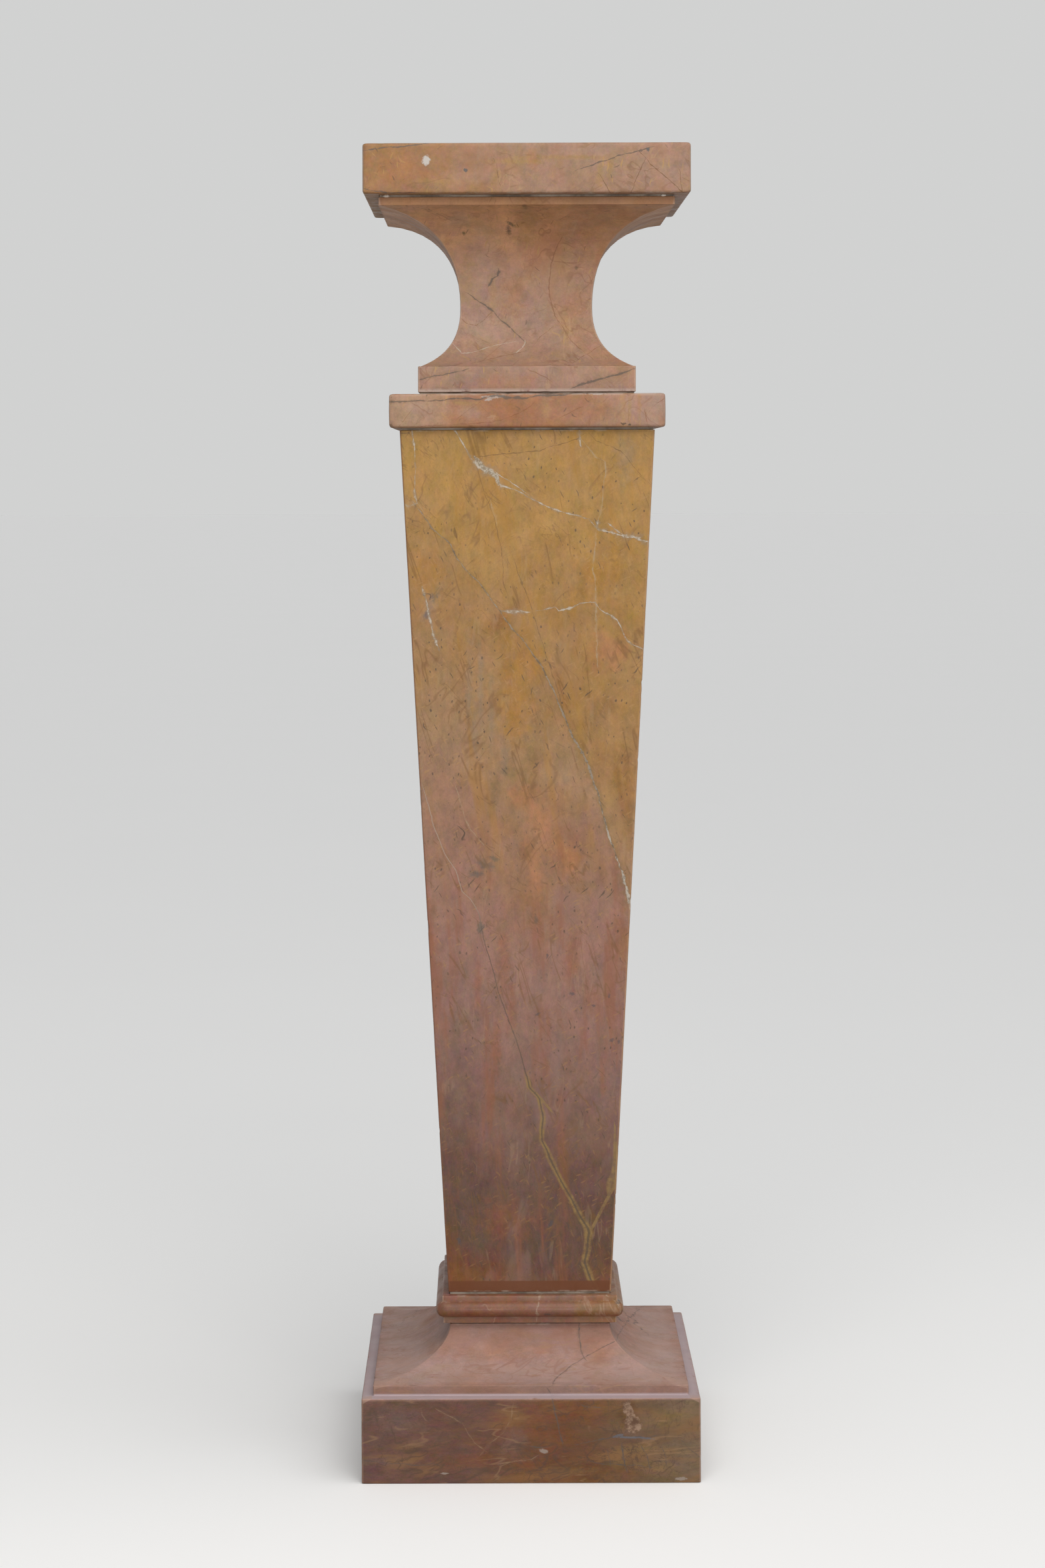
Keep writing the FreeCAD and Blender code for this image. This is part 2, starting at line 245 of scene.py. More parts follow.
def fill_rows(points, step):
    """Add rows so that no stretch of the outline is longer than step."""
    rows = [points[0]]
    for before, after in zip(points, points[1:]):
        length = math.dist(before[:2], after[:2])
        count = max(1, math.ceil(length / step))
        for n in range(1, count):
            t = n / count
            half = before[0] + (after[0] - before[0]) * t
            level = before[1] + (after[1] - before[1]) * t
            rows.append((half, level, 0))
        rows.append(after)
    return rows


def stone_rows(stone):
    """All rows of the stone, from the low socket round the outside to the high one."""
    bottom, top = stone.outline[0][1], stone.outline[-1][1]
    lead_in = [(SOCKET, bottom, 0)]
    lead_out = [(SOCKET, top, 0)]
    outside = rounded([lead_in[0], *stone.outline, lead_out[0]])
    low, high = outside[:1], outside[-1:]
    body = fill_rows(outside[1:-1], stone.row_step)
    if stone.low_socket == "through":
        return low + body + high, True
    if stone.low_socket:
        low = [(0, bottom + stone.low_socket, 0), (SOCKET, bottom + stone.low_socket, 0)] + low
    else:
        low = [(0, bottom, 0)] + low
    if stone.high_socket:
        high = high + [(SOCKET, top - stone.high_socket, 0), (0, top - stone.high_socket, 0)]
    else:
        high = high + [(0, top, 0)]
    return low + body + high, False


def wear_depth(point, exposed):
    """How deep in mm an arris is worn at a point: a soft wave and a few small chips."""
    if not exposed:
        return 0
    soft = 0.25 * (0.5 + 0.5 * noise.noise(point * 0.03))
    chip = max(0, noise.noise(point * 0.16 + Vector((7, 3, 5))) - 0.45) * 4
    return (soft + min(chip, 0.9)) * exposed


CHIPS = {
    # stone: (column, row, radius across, radius up, depth), pixels and mm
    "plinth": [(944, 2117, 8, 10, 2.4), (946, 2138, 13, 12, 3.2), (935, 2130, 7, 9, 1.6)],
}


def chip_depth(stone, chips, point):
    depth = 0
    for x, z, across, up, deepest in chips:
        if point.y > 0:
            continue
        away = math.hypot((point.x - x) / across, (point.z - z) / up)
        away += 0.35 * noise.noise(point * 0.35)
        depth = max(depth, deepest * min(1, max(0, 1.15 - away) * 2.2))
    return depth


def chips_of(stone):
    chips = []
    for column, row, across, up, deepest in CHIPS.get(stone.name, []):
        x, z = stone.on_front(column, row)
        scale = stone.pixel_at(z) * 1000
        chips.append((x * 1000, z * 1000, across * scale, up * scale, deepest))
    return chips


def stone_mesh(stone):
    rows, closed = stone_rows(stone)
    chips = chips_of(stone)
    verts, rings = [], []
    for half, level, on_arc in rows:
        if half == 0:
            rings.append([len(verts)])
            verts.append(Vector((0, 0, level)))
            continue
        radius = SOCKET if half == SOCKET else corner_radius(stone.name, half)
        ring = []
        for x, y, corner in square_ring(half, radius, stone.columns):
            point = Vector((x, y, level))
            worn = wear_depth(point, max(on_arc, corner) if half != SOCKET else 0)
            if chips and y < 0:
                worn += chip_depth(stone, chips, point) * (abs(y) >= half - 0.1)
            inward = Vector((-x, -y, 0)).normalized()
            if on_arc:
                inward.z = 0.7 if level < (stone.foot + stone.head) * 500 else -0.7
            ring.append(len(verts))
            verts.append(point + inward * worn)
        rings.append(ring)
    faces = []
    pairs = list(zip(rings, rings[1:])) + ([(rings[-1], rings[0])] if closed else [])
    for low, high in pairs:
        if len(low) == 1 or len(high) == 1:
            ring, tip = (high, low[0]) if len(low) == 1 else (low, high[0])
            for a, b in zip(ring, ring[1:] + ring[:1]):
                faces.append((tip, b, a) if len(low) == 1 else (a, b, tip))
            continue
        for n in range(len(low)):
            m = (n + 1) % len(low)
            faces.append((low[n], low[m], high[m], high[n]))
    mesh = bpy.data.meshes.new(stone.name)
    mesh.from_pydata([v * 0.001 for v in verts], [], faces)
    mesh.polygons.foreach_set("use_smooth", [True] * len(mesh.polygons))
    mesh.set_sharp_from_angle(angle=math.radians(35))
    mesh.update()
    return mesh


def add_piece(name, mesh, material, replaced=None):
    piece = bpy.data.objects.new(name, mesh)
    bpy.context.scene.collection.objects.link(piece)
    piece.data.materials.append(material)
    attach(piece, "root")
    if replaced:
        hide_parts(replaced)
    return piece


def make_stone(stone, material):
    piece = add_piece(f"{stone.name}_stone", stone_mesh(stone), material, stone.name)
    flat = piece.modifiers.new("flat_faces", "WEIGHTED_NORMAL")
    flat.keep_sharp = True


# ---- node helpers ----


class Graph:
    """The node tree of one material, with short calls for the nodes it uses."""

    def __init__(self, name):
        self.material = bpy.data.materials.new(name)
        self.material.use_nodes = True
        self.tree = self.material.node_tree
        self.shader = self.tree.nodes["Principled BSDF"]
        self.where = self.node("TexCoord").outputs["Object"]
        parts = self.node("SeparateXYZ", {0: self.where})
        self.x, self.y, self.z = parts.outputs[:3]

    def node(self, kind, inputs=None, **settings):
        made = self.tree.nodes.new("ShaderNode" + kind)
        for name, value in settings.items():
            setattr(made, name, value)
        for socket, value in (inputs or {}).items():
            self.feed(made.inputs[socket], value)
        return made

    def feed(self, socket, value):
        if isinstance(value, bpy.types.NodeSocket):
            self.tree.links.new(value, socket)
        elif socket.type == "RGBA" and len(value) == 3:
            socket.default_value = (*value, 1)
        else:
            socket.default_value = value

    def math(self, operation, *values):
        made = self.node("Math", dict(enumerate(values)), operation=operation)
        return made.outputs[0]

    def remap(self, value, low, high, to_low=0.0, to_high=1.0, smooth=True, clamp=True):
        kind = "SMOOTHSTEP" if smooth else "LINEAR"
        inputs = {0: value, 1: low, 2: high, 3: to_low, 4: to_high}
        made = self.node("MapRange", inputs, interpolation_type=kind, clamp=clamp)
        return made.outputs[0]

    def mix(self, share, first, second, blend="MIX"):
        inputs = {0: share, 6: first, 7: second}
        made = self.node("Mix", inputs, data_type="RGBA", blend_type=blend)
        return made.outputs[2]

    def stretched(self, factors):
        inputs = {0: self.where, 1: factors}
        return self.node("VectorMath", inputs, operation="MULTIPLY_ADD").outputs[0]

    def noise(self, scale, detail=3.0, roughness=0.5, distortion=0.0, where=None):
        inputs = {
            "Vector": where or self.where,
            "Scale": scale,
            "Detail": detail,
            "Roughness": roughness,
            "Distortion": distortion,
        }
        return self.node("TexNoise", inputs).outputs["Fac"]

    def curve(self, value, points, extend):
        """A line through points whose two numbers both run from 0 to 1."""
        made = self.node("FloatCurve", {1: value})
        line = made.mapping.curves[0]
        made.mapping.use_clip = False
        made.mapping.extend = extend
        line.points[0].location = points[0]
        line.points[1].location = points[-1]
        for point in points[1:-1]:
            line.points.new(*point)
        for point in line.points:
            point.handle_type = "VECTOR"
        made.mapping.update()
        return made.outputs[0]

    def ramp(self, value, stops):
        """A colour that changes along a value through (place, colour) stops."""
        made = self.node("ValToRGB", {0: value})
        marks = made.color_ramp.elements
        while len(marks) < len(stops):
            marks.new(0.5)
        for mark, (place, _) in zip(marks, stops):
            mark.position = place
        for mark, (_, colour) in zip(marks, stops):
            mark.color = (*colour, 1)
        return made.outputs[0]

    def through(self, value, pairs, extend):
        """The second number of each pair as a function of the first, in real units."""
        pairs = sorted(pairs)
        low, high = pairs[0][0], pairs[-1][0]
        least = min(p[1] for p in pairs)
        most = max(max(p[1] for p in pairs), least + 1e-6)
        points = [((a - low) / (high - low), (b - least) / (most - least)) for a, b in pairs]
        share = self.remap(value, low, high, smooth=False, clamp=False)
        found = self.curve(share, points, extend)
        return self.remap(found, 0.0, 1.0, least, most, smooth=False, clamp=False)

    def joined(self, operation, values):
        """All values in a row under one operation: a product, or the largest."""
        total = values[0]
        for value in values[1:]:
            total = self.math(operation, total, value)
        return total

    def times(self, *values):
        return self.joined("MULTIPLY", values)

    def surface(self, colour, roughness, strength, depth, height, **others):
        """Feed the shader, with a bump of this strength and depth (m), and return the material."""
        bump = self.node("Bump", {"Strength": strength, "Distance": depth, "Height": height})
        feeds = {"Base Color": colour, "Roughness": roughness, "Normal": bump.outputs[0]}
        for name, value in {**feeds, **others}.items():
            self.feed(self.shader.inputs[name], value)
        return self.material


# ---- marble: sizes in metres, scales in waves per metre ----

JITTER_SCALE = 70
JITTER_NEAR = 0.0022
SHEET_DRIFT = 0.35
FRONT_STEPS = 24


class Marble(Graph):
    """The material of one stone. Veins cross it as sheets that the picture's front cuts."""

    def __init__(self, stone):
        super().__init__(f"{stone.name}_marble")
        self.stone = stone
        self.colour = None
        rise = stone.head - stone.foot
        levels = [stone.foot + rise * n / FRONT_STEPS for n in range(FRONT_STEPS + 1)]
        front = self.through(self.z, [(z, stone.half_at(z)) for z in levels], "HORIZONTAL")
        self.depth = self.math("MAXIMUM", self.math("ADD", self.y, front), 0.0)
        wander = self.math("SUBTRACT", self.noise(JITTER_SCALE, 3.0, 0.65), 0.5)
        reach = self.math("MULTIPLY_ADD", self.depth, 0.12, JITTER_NEAR * 2)
        self.jitter = self.math("MULTIPLY", wander, reach)
        self.thickness = self.remap(self.noise(200, 3.0), 0.3, 0.7, 0.25, 1.5)
        self.broken = self.remap(self.noise(120, 4.0, 0.75), 0.38, 0.60)
        self.off_front = self.remap(self.depth, 0.004, 0.012)
        aside = [self.math("ABSOLUTE", axis) for axis in (self.x, self.y)]
        nearest = self.joined("MINIMUM", aside)
        self.arris = self.remap(self.math("SUBTRACT", nearest, front), -0.0020, -0.0006)
        self.flat = self.face_place()
        self.picture = self.node("CombineXYZ", {0: self.x, 1: self.z, 2: 1.0}).outputs[0]
        self.sway = self.math("SUBTRACT", self.noise(60, 2.0), 0.5)
        self.crowd = self.remap(self.noise(14, 3.0), 0.40, 0.60, 0.40, 1.0)

    def face_place(self):
        """A place on whichever side of the stone is seen: across it, up it, and 1."""
        normal = self.node("NewGeometry").outputs["True Normal"]
        axes = self.node("SeparateXYZ", {0: normal}).outputs
        sizes = [self.math("ABSOLUTE", axes[n]) for n in range(3)]
        sideways = self.math("GREATER_THAN", sizes[0], sizes[1])
        lying = self.math("GREATER_THAN", sizes[2], 0.85)
        across = self.either(sideways, self.x, self.math("ADD", self.y, 2.0))
        across = self.either(lying, across, self.x)
        up = self.either(lying, self.z, self.y)
        return self.node("CombineXYZ", {0: across, 1: up, 2: 1.0}).outputs[0]

    def either(self, share, first, second):
        return self.node("Mix", {0: share, 2: first, 3: second}, data_type="FLOAT").outputs[0]

    def dot(self, place, factors):
        """A sum of a place's two numbers, each times its factor, and of a constant."""
        made = self.node("VectorMath", {0: place, 1: factors}, operation="DOT_PRODUCT")
        return made.outputs["Value"]

    def turned(self, lean, across=1.0, along=1.0, seed=0.0, sway=0.0):
        """The place on a face for a pattern that leans to the right at the top, in degrees."""
        cos, sin = math.cos(math.radians(lean)), math.sin(math.radians(lean))
        first = self.dot(self.flat, (cos * across, -sin * across, seed))
        second = self.dot(self.flat, (sin * along, cos * along, seed * 1.7))
        if sway:
            first = self.math("MULTIPLY_ADD", self.sway, sway, first)
        return self.node("CombineXYZ", {0: first, 1: second}).outputs[0]

    def vein(self, spots, along="z", halo=3.2, thick=1.0, calm=None):
        """Masks of a vein's core and of the soft band round it. Each spot is its column, row
        and width in the picture. It is a line over z where it is steep, else over x. A calm
        vein wanders less, by that factor, and is evenly thick."""
        line, widths = [], []
        for column, row, width in spots:
            x, z = self.stone.on_front(column, row)
            over, across = (z, x) if along == "z" else (x, z)
            line.append((over, across))
            widths.append((over, width * thick / 2 * self.stone.pixel_at(z)))
        offset = self.beside(line, along, calm)
        width = self.through(self.z if along == "z" else self.x, widths, "HORIZONTAL")
        if calm is None:
            width = self.math("MULTIPLY", width, self.thickness)
        width = self.math("MAXIMUM", width, 1e-6)
        ratio = self.math("DIVIDE", self.math("ABSOLUTE", offset), width)
        return self.remap(ratio, 1.25, 0.55), self.remap(ratio, halo * 1.3, halo * 0.6)

    def beside(self, line, along="z", calm=None):
        """How far a place is from a line, whose sheet leans and wanders inside the stone."""
        over, across = (self.z, self.x) if along == "z" else (self.x, self.z)
        path = self.through(over, line, "EXTRAPOLATED")
        wander = self.jitter if calm is None else self.math("MULTIPLY", self.jitter, calm)
        bend = self.math("MULTIPLY_ADD", self.depth, -SHEET_DRIFT, wander)
        return self.math("SUBTRACT", self.math("ADD", across, bend), path)

    def side_of(self, spots, soft=0.004):
        """1 to the right of a steep vein and 0 to its left."""
        places = [self.stone.on_front(column, row) for column, row, *_ in spots]
        return self.remap(self.beside([(z, x) for x, z in places]), -soft, soft)

    def veins(self, table, **settings):
        masks = [self.vein(spots, along, **settings) for along, spots in table]
        return [self.joined("MAXIMUM", kind) for kind in zip(*masks)]

    def draw(self, table, other, *shares, around=None, **settings):
        """Paint veins. around is the colour and the share of the band round them."""
        core, band = self.veins(table, **settings)
        if around:
            self.tint(around[0], band, around[1])
        self.tint(other, core, *shares)

    def spots(self, table, rough=0.35, soft=0.25, grain=160):
        """Ragged oval patches of the front: column, row, width, height and lean."""
        nearest = None
        for column, row, wide, high, *lean in table:
            x, z = self.stone.on_front(column, row)
            scale = self.stone.pixel_at(z) / 2
            turn = math.radians(lean[0] if lean else 0)
            cos, sin = math.cos(turn), math.sin(turn)
            squares = 0.0
            for run_x, run_z, reach in ((cos, -sin, wide * scale), (sin, cos, high * scale)):
                factors = (run_x / reach, run_z / reach, -(x * run_x + z * run_z) / reach)
                offset = self.dot(self.picture, factors)
                squares = self.math("MULTIPLY_ADD", offset, offset, squares)
            nearest = squares if nearest is None else self.math("MINIMUM", nearest, squares)
        nearest = self.math("SQRT", nearest)
        ragged = self.math("MULTIPLY_ADD", self.noise(grain, 4.0, 0.65), rough * 4, -rough * 2)
        near = self.remap(self.math("ADD", nearest, ragged), 1 + soft, 1 - soft)
        return self.math("MULTIPLY", near, self.remap(self.depth, 0.012, 0.006))

    def blot(self, table, share, other, rough=0.6, soft=0.25, grain=420):
        """Paint spots."""
        self.tint(other, self.spots(table, rough, soft, grain), share)

    def hairlines(self, scale, width, distortion=1.2):
        """A net of thin wandering lines."""
        cloud = self.noise(scale, 4.0, 0.6, distortion)
        away = self.math("ABSOLUTE", self.math("SUBTRACT", cloud, 0.5))
        return self.remap(away, width, 0.0)

    def net(self, scale, width, least, most, other):
        """Paint hairlines, more of them off the front, where no vein is placed."""
        lines = self.hairlines(scale, width)
        self.tint(other, lines, self.remap(self.off_front, 0, 1, least, most))

    def fibres(self, scale, lean, stretch, width, kept, seed=0.0):
        """Thin lines that run one way, wander and break off."""
        place = self.turned(lean, 1.0, stretch, seed)
        cloud = self.noise(scale, 3.0, 0.6, 0.5, place)
        away = self.math("ABSOLUTE", self.math("SUBTRACT", cloud, 0.5))
        line = self.remap(away, width, 0.0)
        cover = self.noise(scale * 0.8, 2.0, 0.6, 0.0, self.turned(lean, 1.0, 0.6, seed + 5))
        edge = 0.66 - 0.32 * kept
        return self.math("MULTIPLY", line, self.remap(cover, edge, edge + 0.06))

    def dashes(self, spacing, length, width, lean, share, seed=0.0):
        """Short strokes strewn over the faces, each of its own size. Sizes in metres."""
        place = self.turned(lean, 1 / spacing, width / length / spacing, seed, 1.6)
        cells = self.node("TexVoronoi", {"Vector": place, "Scale": 1.0},
                          voronoi_dimensions="2D")
        picks = self.node("SeparateColor", {0: cells.outputs["Color"]}).outputs
        reach = self.math("MULTIPLY_ADD", picks[1], width / spacing / 2, width / spacing / 5)
        near = self.remap(self.math("DIVIDE", cells.outputs["Distance"], reach), 1.2, 0.6)
        return self.math("MULTIPLY", near, self.math("LESS_THAN", picks[0], share))

    def streaks(self, other, scale, lean, stretch, low, high, most, seed=0.0, within=None):
        """Paint soft stripes that run one way, within a mask if one is given."""
        place = self.turned(lean, 1.0, stretch, seed)
        stripe = self.remap(self.noise(scale, 4.0, 0.65, 0.4, place), low, high, 0.0, most)
        self.tint(other, *([stripe] if within is None else [stripe, within]))

    def mottle(self, light, hue, scale, where=None):
        """Even, fine mottling: how much the light changes, and how much the hue does."""
        inputs = {"Vector": where or self.where, "Scale": scale, "Detail": 6.0, "Roughness": 0.9}
        cloud = self.node("TexNoise", inputs).outputs
        tone = self.math("MULTIPLY_ADD", cloud["Fac"], light * 2, 1 - light)
        grey = self.node("CombineColor", {n: tone for n in range(3)}).outputs[0]
        colour = self.mix(1.0, self.colour, grey, "MULTIPLY")
        self.colour = self.mix(hue, colour, cloud["Color"], "LINEAR_LIGHT")

    def lines(self, table):
        """Thin lines, each kind with its scale, lean, stretch, width, kept part, share, colour."""
        for seed, (*shape, share, other) in enumerate(table):
            self.tint(other, self.fibres(*shape, 2.0 + 7 * seed), share)

    def strokes(self, table, other):
        """Short dashes in crowds: spacing, length, width, lean, share of cells, strength."""
        for seed, (*shape, strength) in enumerate(table):
            self.tint(other, self.dashes(*shape, 1.0 + 5 * seed), self.crowd, strength)

    def patches(self, table):
        """Soft blotches, each kind with its spots, share, colour and grain."""
        for spots, share, other, grain in table:
            self.blot(spots, share, other, 0.8, 0.8, grain)

    def tint(self, other, *masks):
        """Lay another colour over the stone, as far as the product of the masks lets it."""
        self.colour = self.mix(self.times(*masks), self.colour, other)

    def fitful(self, least, most):
        """A share that keeps changing along a vein."""
        return self.remap(self.broken, 0, 1, least, most)

    def between(self, low, high):
        """A level band. Each edge is the heights where it is none and where it is whole."""
        return self.times(self.remap(self.z, *low), self.remap(self.z, *high))

    def residue(self, share, other, levels, reach=0.0022, bare=0.48):
        """Paint pale mortar left on the stone beside its joints."""
        away = [self.math("ABSOLUTE", self.math("SUBTRACT", self.z, z)) for z in levels]
        near = self.joined("MAXIMUM", [self.remap(gap, reach, 0.0) for gap in away])
        smear = self.remap(self.noise(55, 4.0, 0.7), bare, bare + 0.2)
        self.tint(other, self.times(near, smear), share)

    def finish(self, gloss_low=0.5, gloss_high=0.68, pits=None, edge=(0.52, 0.36, 0.27)):
        """Polish the stone: a painted highlight along the arrises, fine grain, uneven gloss and a
        slight relief.
        """
        # Painted highlight: the arrises get the paler edge colour, unevenly along their length.
        highlight_share = self.remap(self.noise(90, 3.0), 0.3, 0.6, 0.25, 0.6)
        self.tint(edge, self.arris, highlight_share)
        gloss = self.remap(self.noise(35, 4.0, 0.6), 0.3, 0.7, gloss_low, gloss_high)
        height = self.noise(160, 5.0, 0.7)
        if pits is not None:
            height = self.math("SUBTRACT", height, self.math("MULTIPLY", pits, 1.5))
            gloss = self.math("ADD", gloss, self.math("MULTIPLY", pits, 0.25))
        specular = {"Specular IOR Level": 0.3}
        return self.surface(self.colour, gloss, 0.25, 0.00012, height, **specular)


WHITE = (0.54, 0.48, 0.40)
PALE = (0.44, 0.33, 0.20)
GREY = (0.24, 0.20, 0.155)
DARK = (0.075, 0.050, 0.034)
OLIVE = (0.265, 0.165, 0.058)
MORTAR = (0.50, 0.44, 0.36)

# Heights on the shaft from its foot (0) to its head (1): where a change begins and ends.
SHAFT_LOWER_PART = (0.60, 0.42)
MAIN_PALE_LOW_PART = (0.62, 0.50)
MAIN_PALE_HEAD = (0.85, 0.92)
LONG_OLIVE_PART = (0.262, 0.245)
LONG_PALE_PART = (0.42, 0.46)

# The (column, row, width) spots of a vein in the picture.
SHAFT_MAIN = [
    (618, 750, 0), (623, 757, 1.5), (636, 773, 2), (650, 793, 2.5), (677, 816, 2.5), (684, 833, 3),
    (697, 852, 2.5), (718, 872, 2.5), (730, 889, 2), (749, 915, 2.5), (769, 942, 3),
    (784, 958, 2.5), (797, 977, 4), (812, 998, 4), (816, 1004, 3), (825, 1024, 2.5),
    (839, 1057, 2.5), (850, 1082, 2.5), (862, 1109, 5), (876, 1132, 6), (885, 1155, 5),
    (896, 1185, 3.5), (905, 1220, 3), (915, 1254, 3), (928, 1293, 3), (937, 1318, 6),
    (944, 1348, 6),
]
SHAFT_LONG = [
    (633, 1172, 0), (637, 1187, 1.5), (653, 1243, 2), (667, 1279, 2), (685, 1307, 2),
    (694, 1337, 2), (706, 1348, 2), (713, 1358, 2), (719, 1370, 2), (726, 1409, 1.5),
    (732, 1427, 2), (739, 1450, 2), (747, 1482, 1.5), (755, 1505, 2), (765, 1533, 2),
    (773, 1554, 2), (782, 1579, 2), (790, 1611, 3), (796, 1632, 3), (810, 1648, 3), (815, 1671, 3),
    (814, 1712, 3), (824, 1732, 3.5), (834, 1755, 3.5), (848, 1781, 3.5), (860, 1801, 3.5),
    (869, 1820, 4), (880, 1838, 4), (885, 1848, 5), (883, 1868, 4), (878, 1894, 4), (885, 1911, 4),
    (890, 1925, 4), (896, 1938, 4),
]

# In this table and those like it, each row has the axis a vein runs along and its spots.
SHAFT_WHITE = [
    ("x", [(680, 640, 0), (684, 646, 4), (702, 678, 4), (707, 688, 7), (716, 697, 9),
        (727, 704, 11), (740, 709, 12), (748, 717, 12), (751, 728, 5), (765, 733, 1.5),
        (779, 738, 2.5), (802, 750, 3), (822, 760, 2), (835, 764, 3.5), (852, 771, 2),
        (865, 774, 3), (883, 779, 1), (897, 794, 3.5), (911, 798, 4), (930, 803, 4.5),
        (950, 807, 7), (973, 813, 9)]),
    ("x", [(733, 701, 0), (745, 708, 1.5), (770, 726, 1.5), (794, 742, 1.5), (800, 746, 0)]),
    ("x", [(912, 785, 0), (917, 789, 3), (927, 797, 3), (934, 802, 2), (940, 804, 0)]),
    ("z", [(898, 780, 0), (897, 783, 4), (897, 793, 4), (898, 796, 0)]),
    ("z", [(869, 640, 0), (869, 646, 4), (871, 656, 3), (872, 668, 3), (873, 672, 0)]),
    ("x", [(748, 916, 0), (754, 916.5, 4), (772, 917, 5), (788, 918, 4.5), (797, 918, 0),
        (815, 915, 0.5), (825, 913, 3), (834, 912, 0.5), (839, 917, 2), (850, 914.5, 4),
        (862, 911, 4), (869, 907, 2), (882, 905, 1.5), (893, 904, 2.5), (899, 913, 1.5),
        (906, 919, 3), (918, 924, 4), (926, 930, 3), (932, 941, 4), (937, 952, 3), (942, 963, 4),
        (952, 969, 1.5), (965, 974, 1.5), (975, 979, 0)]),
    ("z", [(633, 878, 0), (634, 884, 3.5), (639, 898, 2.5), (643, 914, 3.5), (649, 944, 3),
        (653, 958, 4), (659, 973, 2.5), (660, 977, 0)]),
    ("z", [(618, 646, 1), (621, 658, 3), (622, 668, 3), (623, 680, 1), (623, 727, 1.5),
        (624, 745, 3), (626, 752, 1), (627, 757, 0)]),
]
SHAFT_THIN = [
    ("z", [(871, 655, 0), (873, 659, 1), (896, 687, 2), (908, 692, 2.5), (909, 706, 2),
        (905, 742, 1.5), (900, 773, 1.5), (896, 785, 1), (892, 839, 1.5), (890, 855, 2),
        (893, 868, 2.5), (894, 905, 2), (895, 941, 2), (897, 989, 2), (899, 1010, 0)]),
    ("z", [(735, 745, 0), (738, 757, 2), (741, 771, 3), (744, 780, 1.5), (746, 790, 0)]),
    ("z", [(683, 1174, 0), (685, 1181, 1), (699, 1229, 1.5), (708, 1245, 1.5), (726, 1266, 1),
        (728, 1270, 0)]),
    ("x", [(606, 754, 0), (612, 760, 4), (622, 757, 4), (627, 754, 2), (640, 774, 0)]),
]
SHAFT_DARK = [
    ("x", [(702, 687, 0), (707, 686, 1), (743, 682, 1.5), (775, 680, 1.5), (809, 676, 1.5),
        (840, 667, 1.5), (868, 657, 1.2), (880, 650, 0)]),
    ("x", [(880, 646, 0.5), (896, 662, 1.2), (920, 672, 1.2), (932, 677, 1.5), (955, 705, 1.5),
        (975, 727, 1.2)]),
    ("z", [(682, 790, 0), (683, 797, 5), (685, 805, 4), (686, 809, 0)]),
    ("z", [(769, 830, 0), (774, 845, 1.5), (779, 861, 1.5), (784, 875, 3), (789, 888, 1.5),
        (798, 912, 1), (812, 960, 1.2), (826, 1000, 1.2), (838, 1040, 1.5), (846, 1070, 1.5),
        (850, 1085, 0)]),
    ("z", [(726, 738, 0), (733, 752, 1.2), (742, 780, 1.2), (752, 820, 1), (757, 880, 1),
        (765, 900, 0)]),
    ("z", [(724, 1263, 0), (726, 1266, 1), (738, 1276, 2), (750, 1285, 1.5), (753, 1288, 0)]),
    ("x", [(895, 1603, 0), (901, 1607, 2), (909, 1615, 1), (912, 1619, 0)]),
    ("z", [(685, 1864, 0), (687, 1870, 2), (691, 1880, 2), (695, 1888, 1), (697, 1892, 0)]),
]
SHAFT_BRANCH = [
    ("z", [(884, 1852, 0), (886, 1848, 2), (895, 1832, 2), (905, 1813, 2), (915, 1793, 2),
        (921, 1783, 3), (924, 1776, 0)]),
    ("z", [(922, 1680, 0), (923, 1690, 1), (925, 1741, 3), (924, 1760, 5), (918, 1778, 6),
        (914, 1790, 2), (912, 1796, 0)]),
    ("x", [(793, 1628, 0), (796, 1630, 2), (812, 1648, 2), (827, 1665, 2), (832, 1672, 0)]),
]


# How the shaft's colour changes from its foot (0) to its head (1). It darkens towards the foot:
# partly the stone's own colour, partly painted shade.
SHAFT_RAMP = [
    (0.00, (0.132, 0.046, 0.018)),
    (0.04, (0.108, 0.056, 0.037)),
    (0.12, (0.120, 0.062, 0.042)),
    (0.20, (0.180, 0.095, 0.070)),
    (0.28, (0.236, 0.128, 0.098)),
    (0.38, (0.280, 0.149, 0.112)),
    (0.46, (0.288, 0.150, 0.102)),
    (0.54, (0.302, 0.166, 0.100)),
    (0.60, (0.318, 0.186, 0.096)),
    (0.68, (0.318, 0.178, 0.076)),
    (0.76, (0.322, 0.172, 0.060)),
    (0.86, (0.345, 0.194, 0.066)),
    (1.00, (0.370, 0.206, 0.060)),
]

# Patches of the front: (column, row, width, height and lean) of each in the picture.
SHAFT_GOLD = [
    (778, 1030, 46, 120, 3), (792, 985, 36, 60, -20), (772, 1085, 26, 60, 0),
    (900, 860, 60, 70, 20), (640, 860, 40, 60, 0),
]
SHAFT_GREY = [
    (704, 1025, 9, 130, 0), (722, 1045, 7, 120, 0), (738, 1075, 8, 90, 0), (712, 1095, 14, 60, 0),
    (648, 905, 14, 50, 25), (940, 690, 26, 60, 0), (757, 1140, 12, 50, 0),
]
SHAFT_ORANGE = [
    (812, 1232, 30, 100, -22), (850, 1285, 30, 80, -30), (800, 1300, 22, 70, -8),
    (790, 1195, 40, 30, 0), (912, 980, 50, 46, 0),
]
SHAFT_ARCH = [
    (742, 1190, 14, 70, 12), (766, 1157, 56, 12, 0), (800, 1185, 12, 60, -28),
    (872, 1330, 40, 26, 0),
]
SHAFT_BROWN = [
    (944, 1205, 14, 130, -2), (930, 1180, 8, 90, -8), (936, 1420, 16, 110, -2),
    (760, 925, 60, 24, -35), (845, 1045, 12, 60, -15), (700, 1915, 70, 28, 0),
]
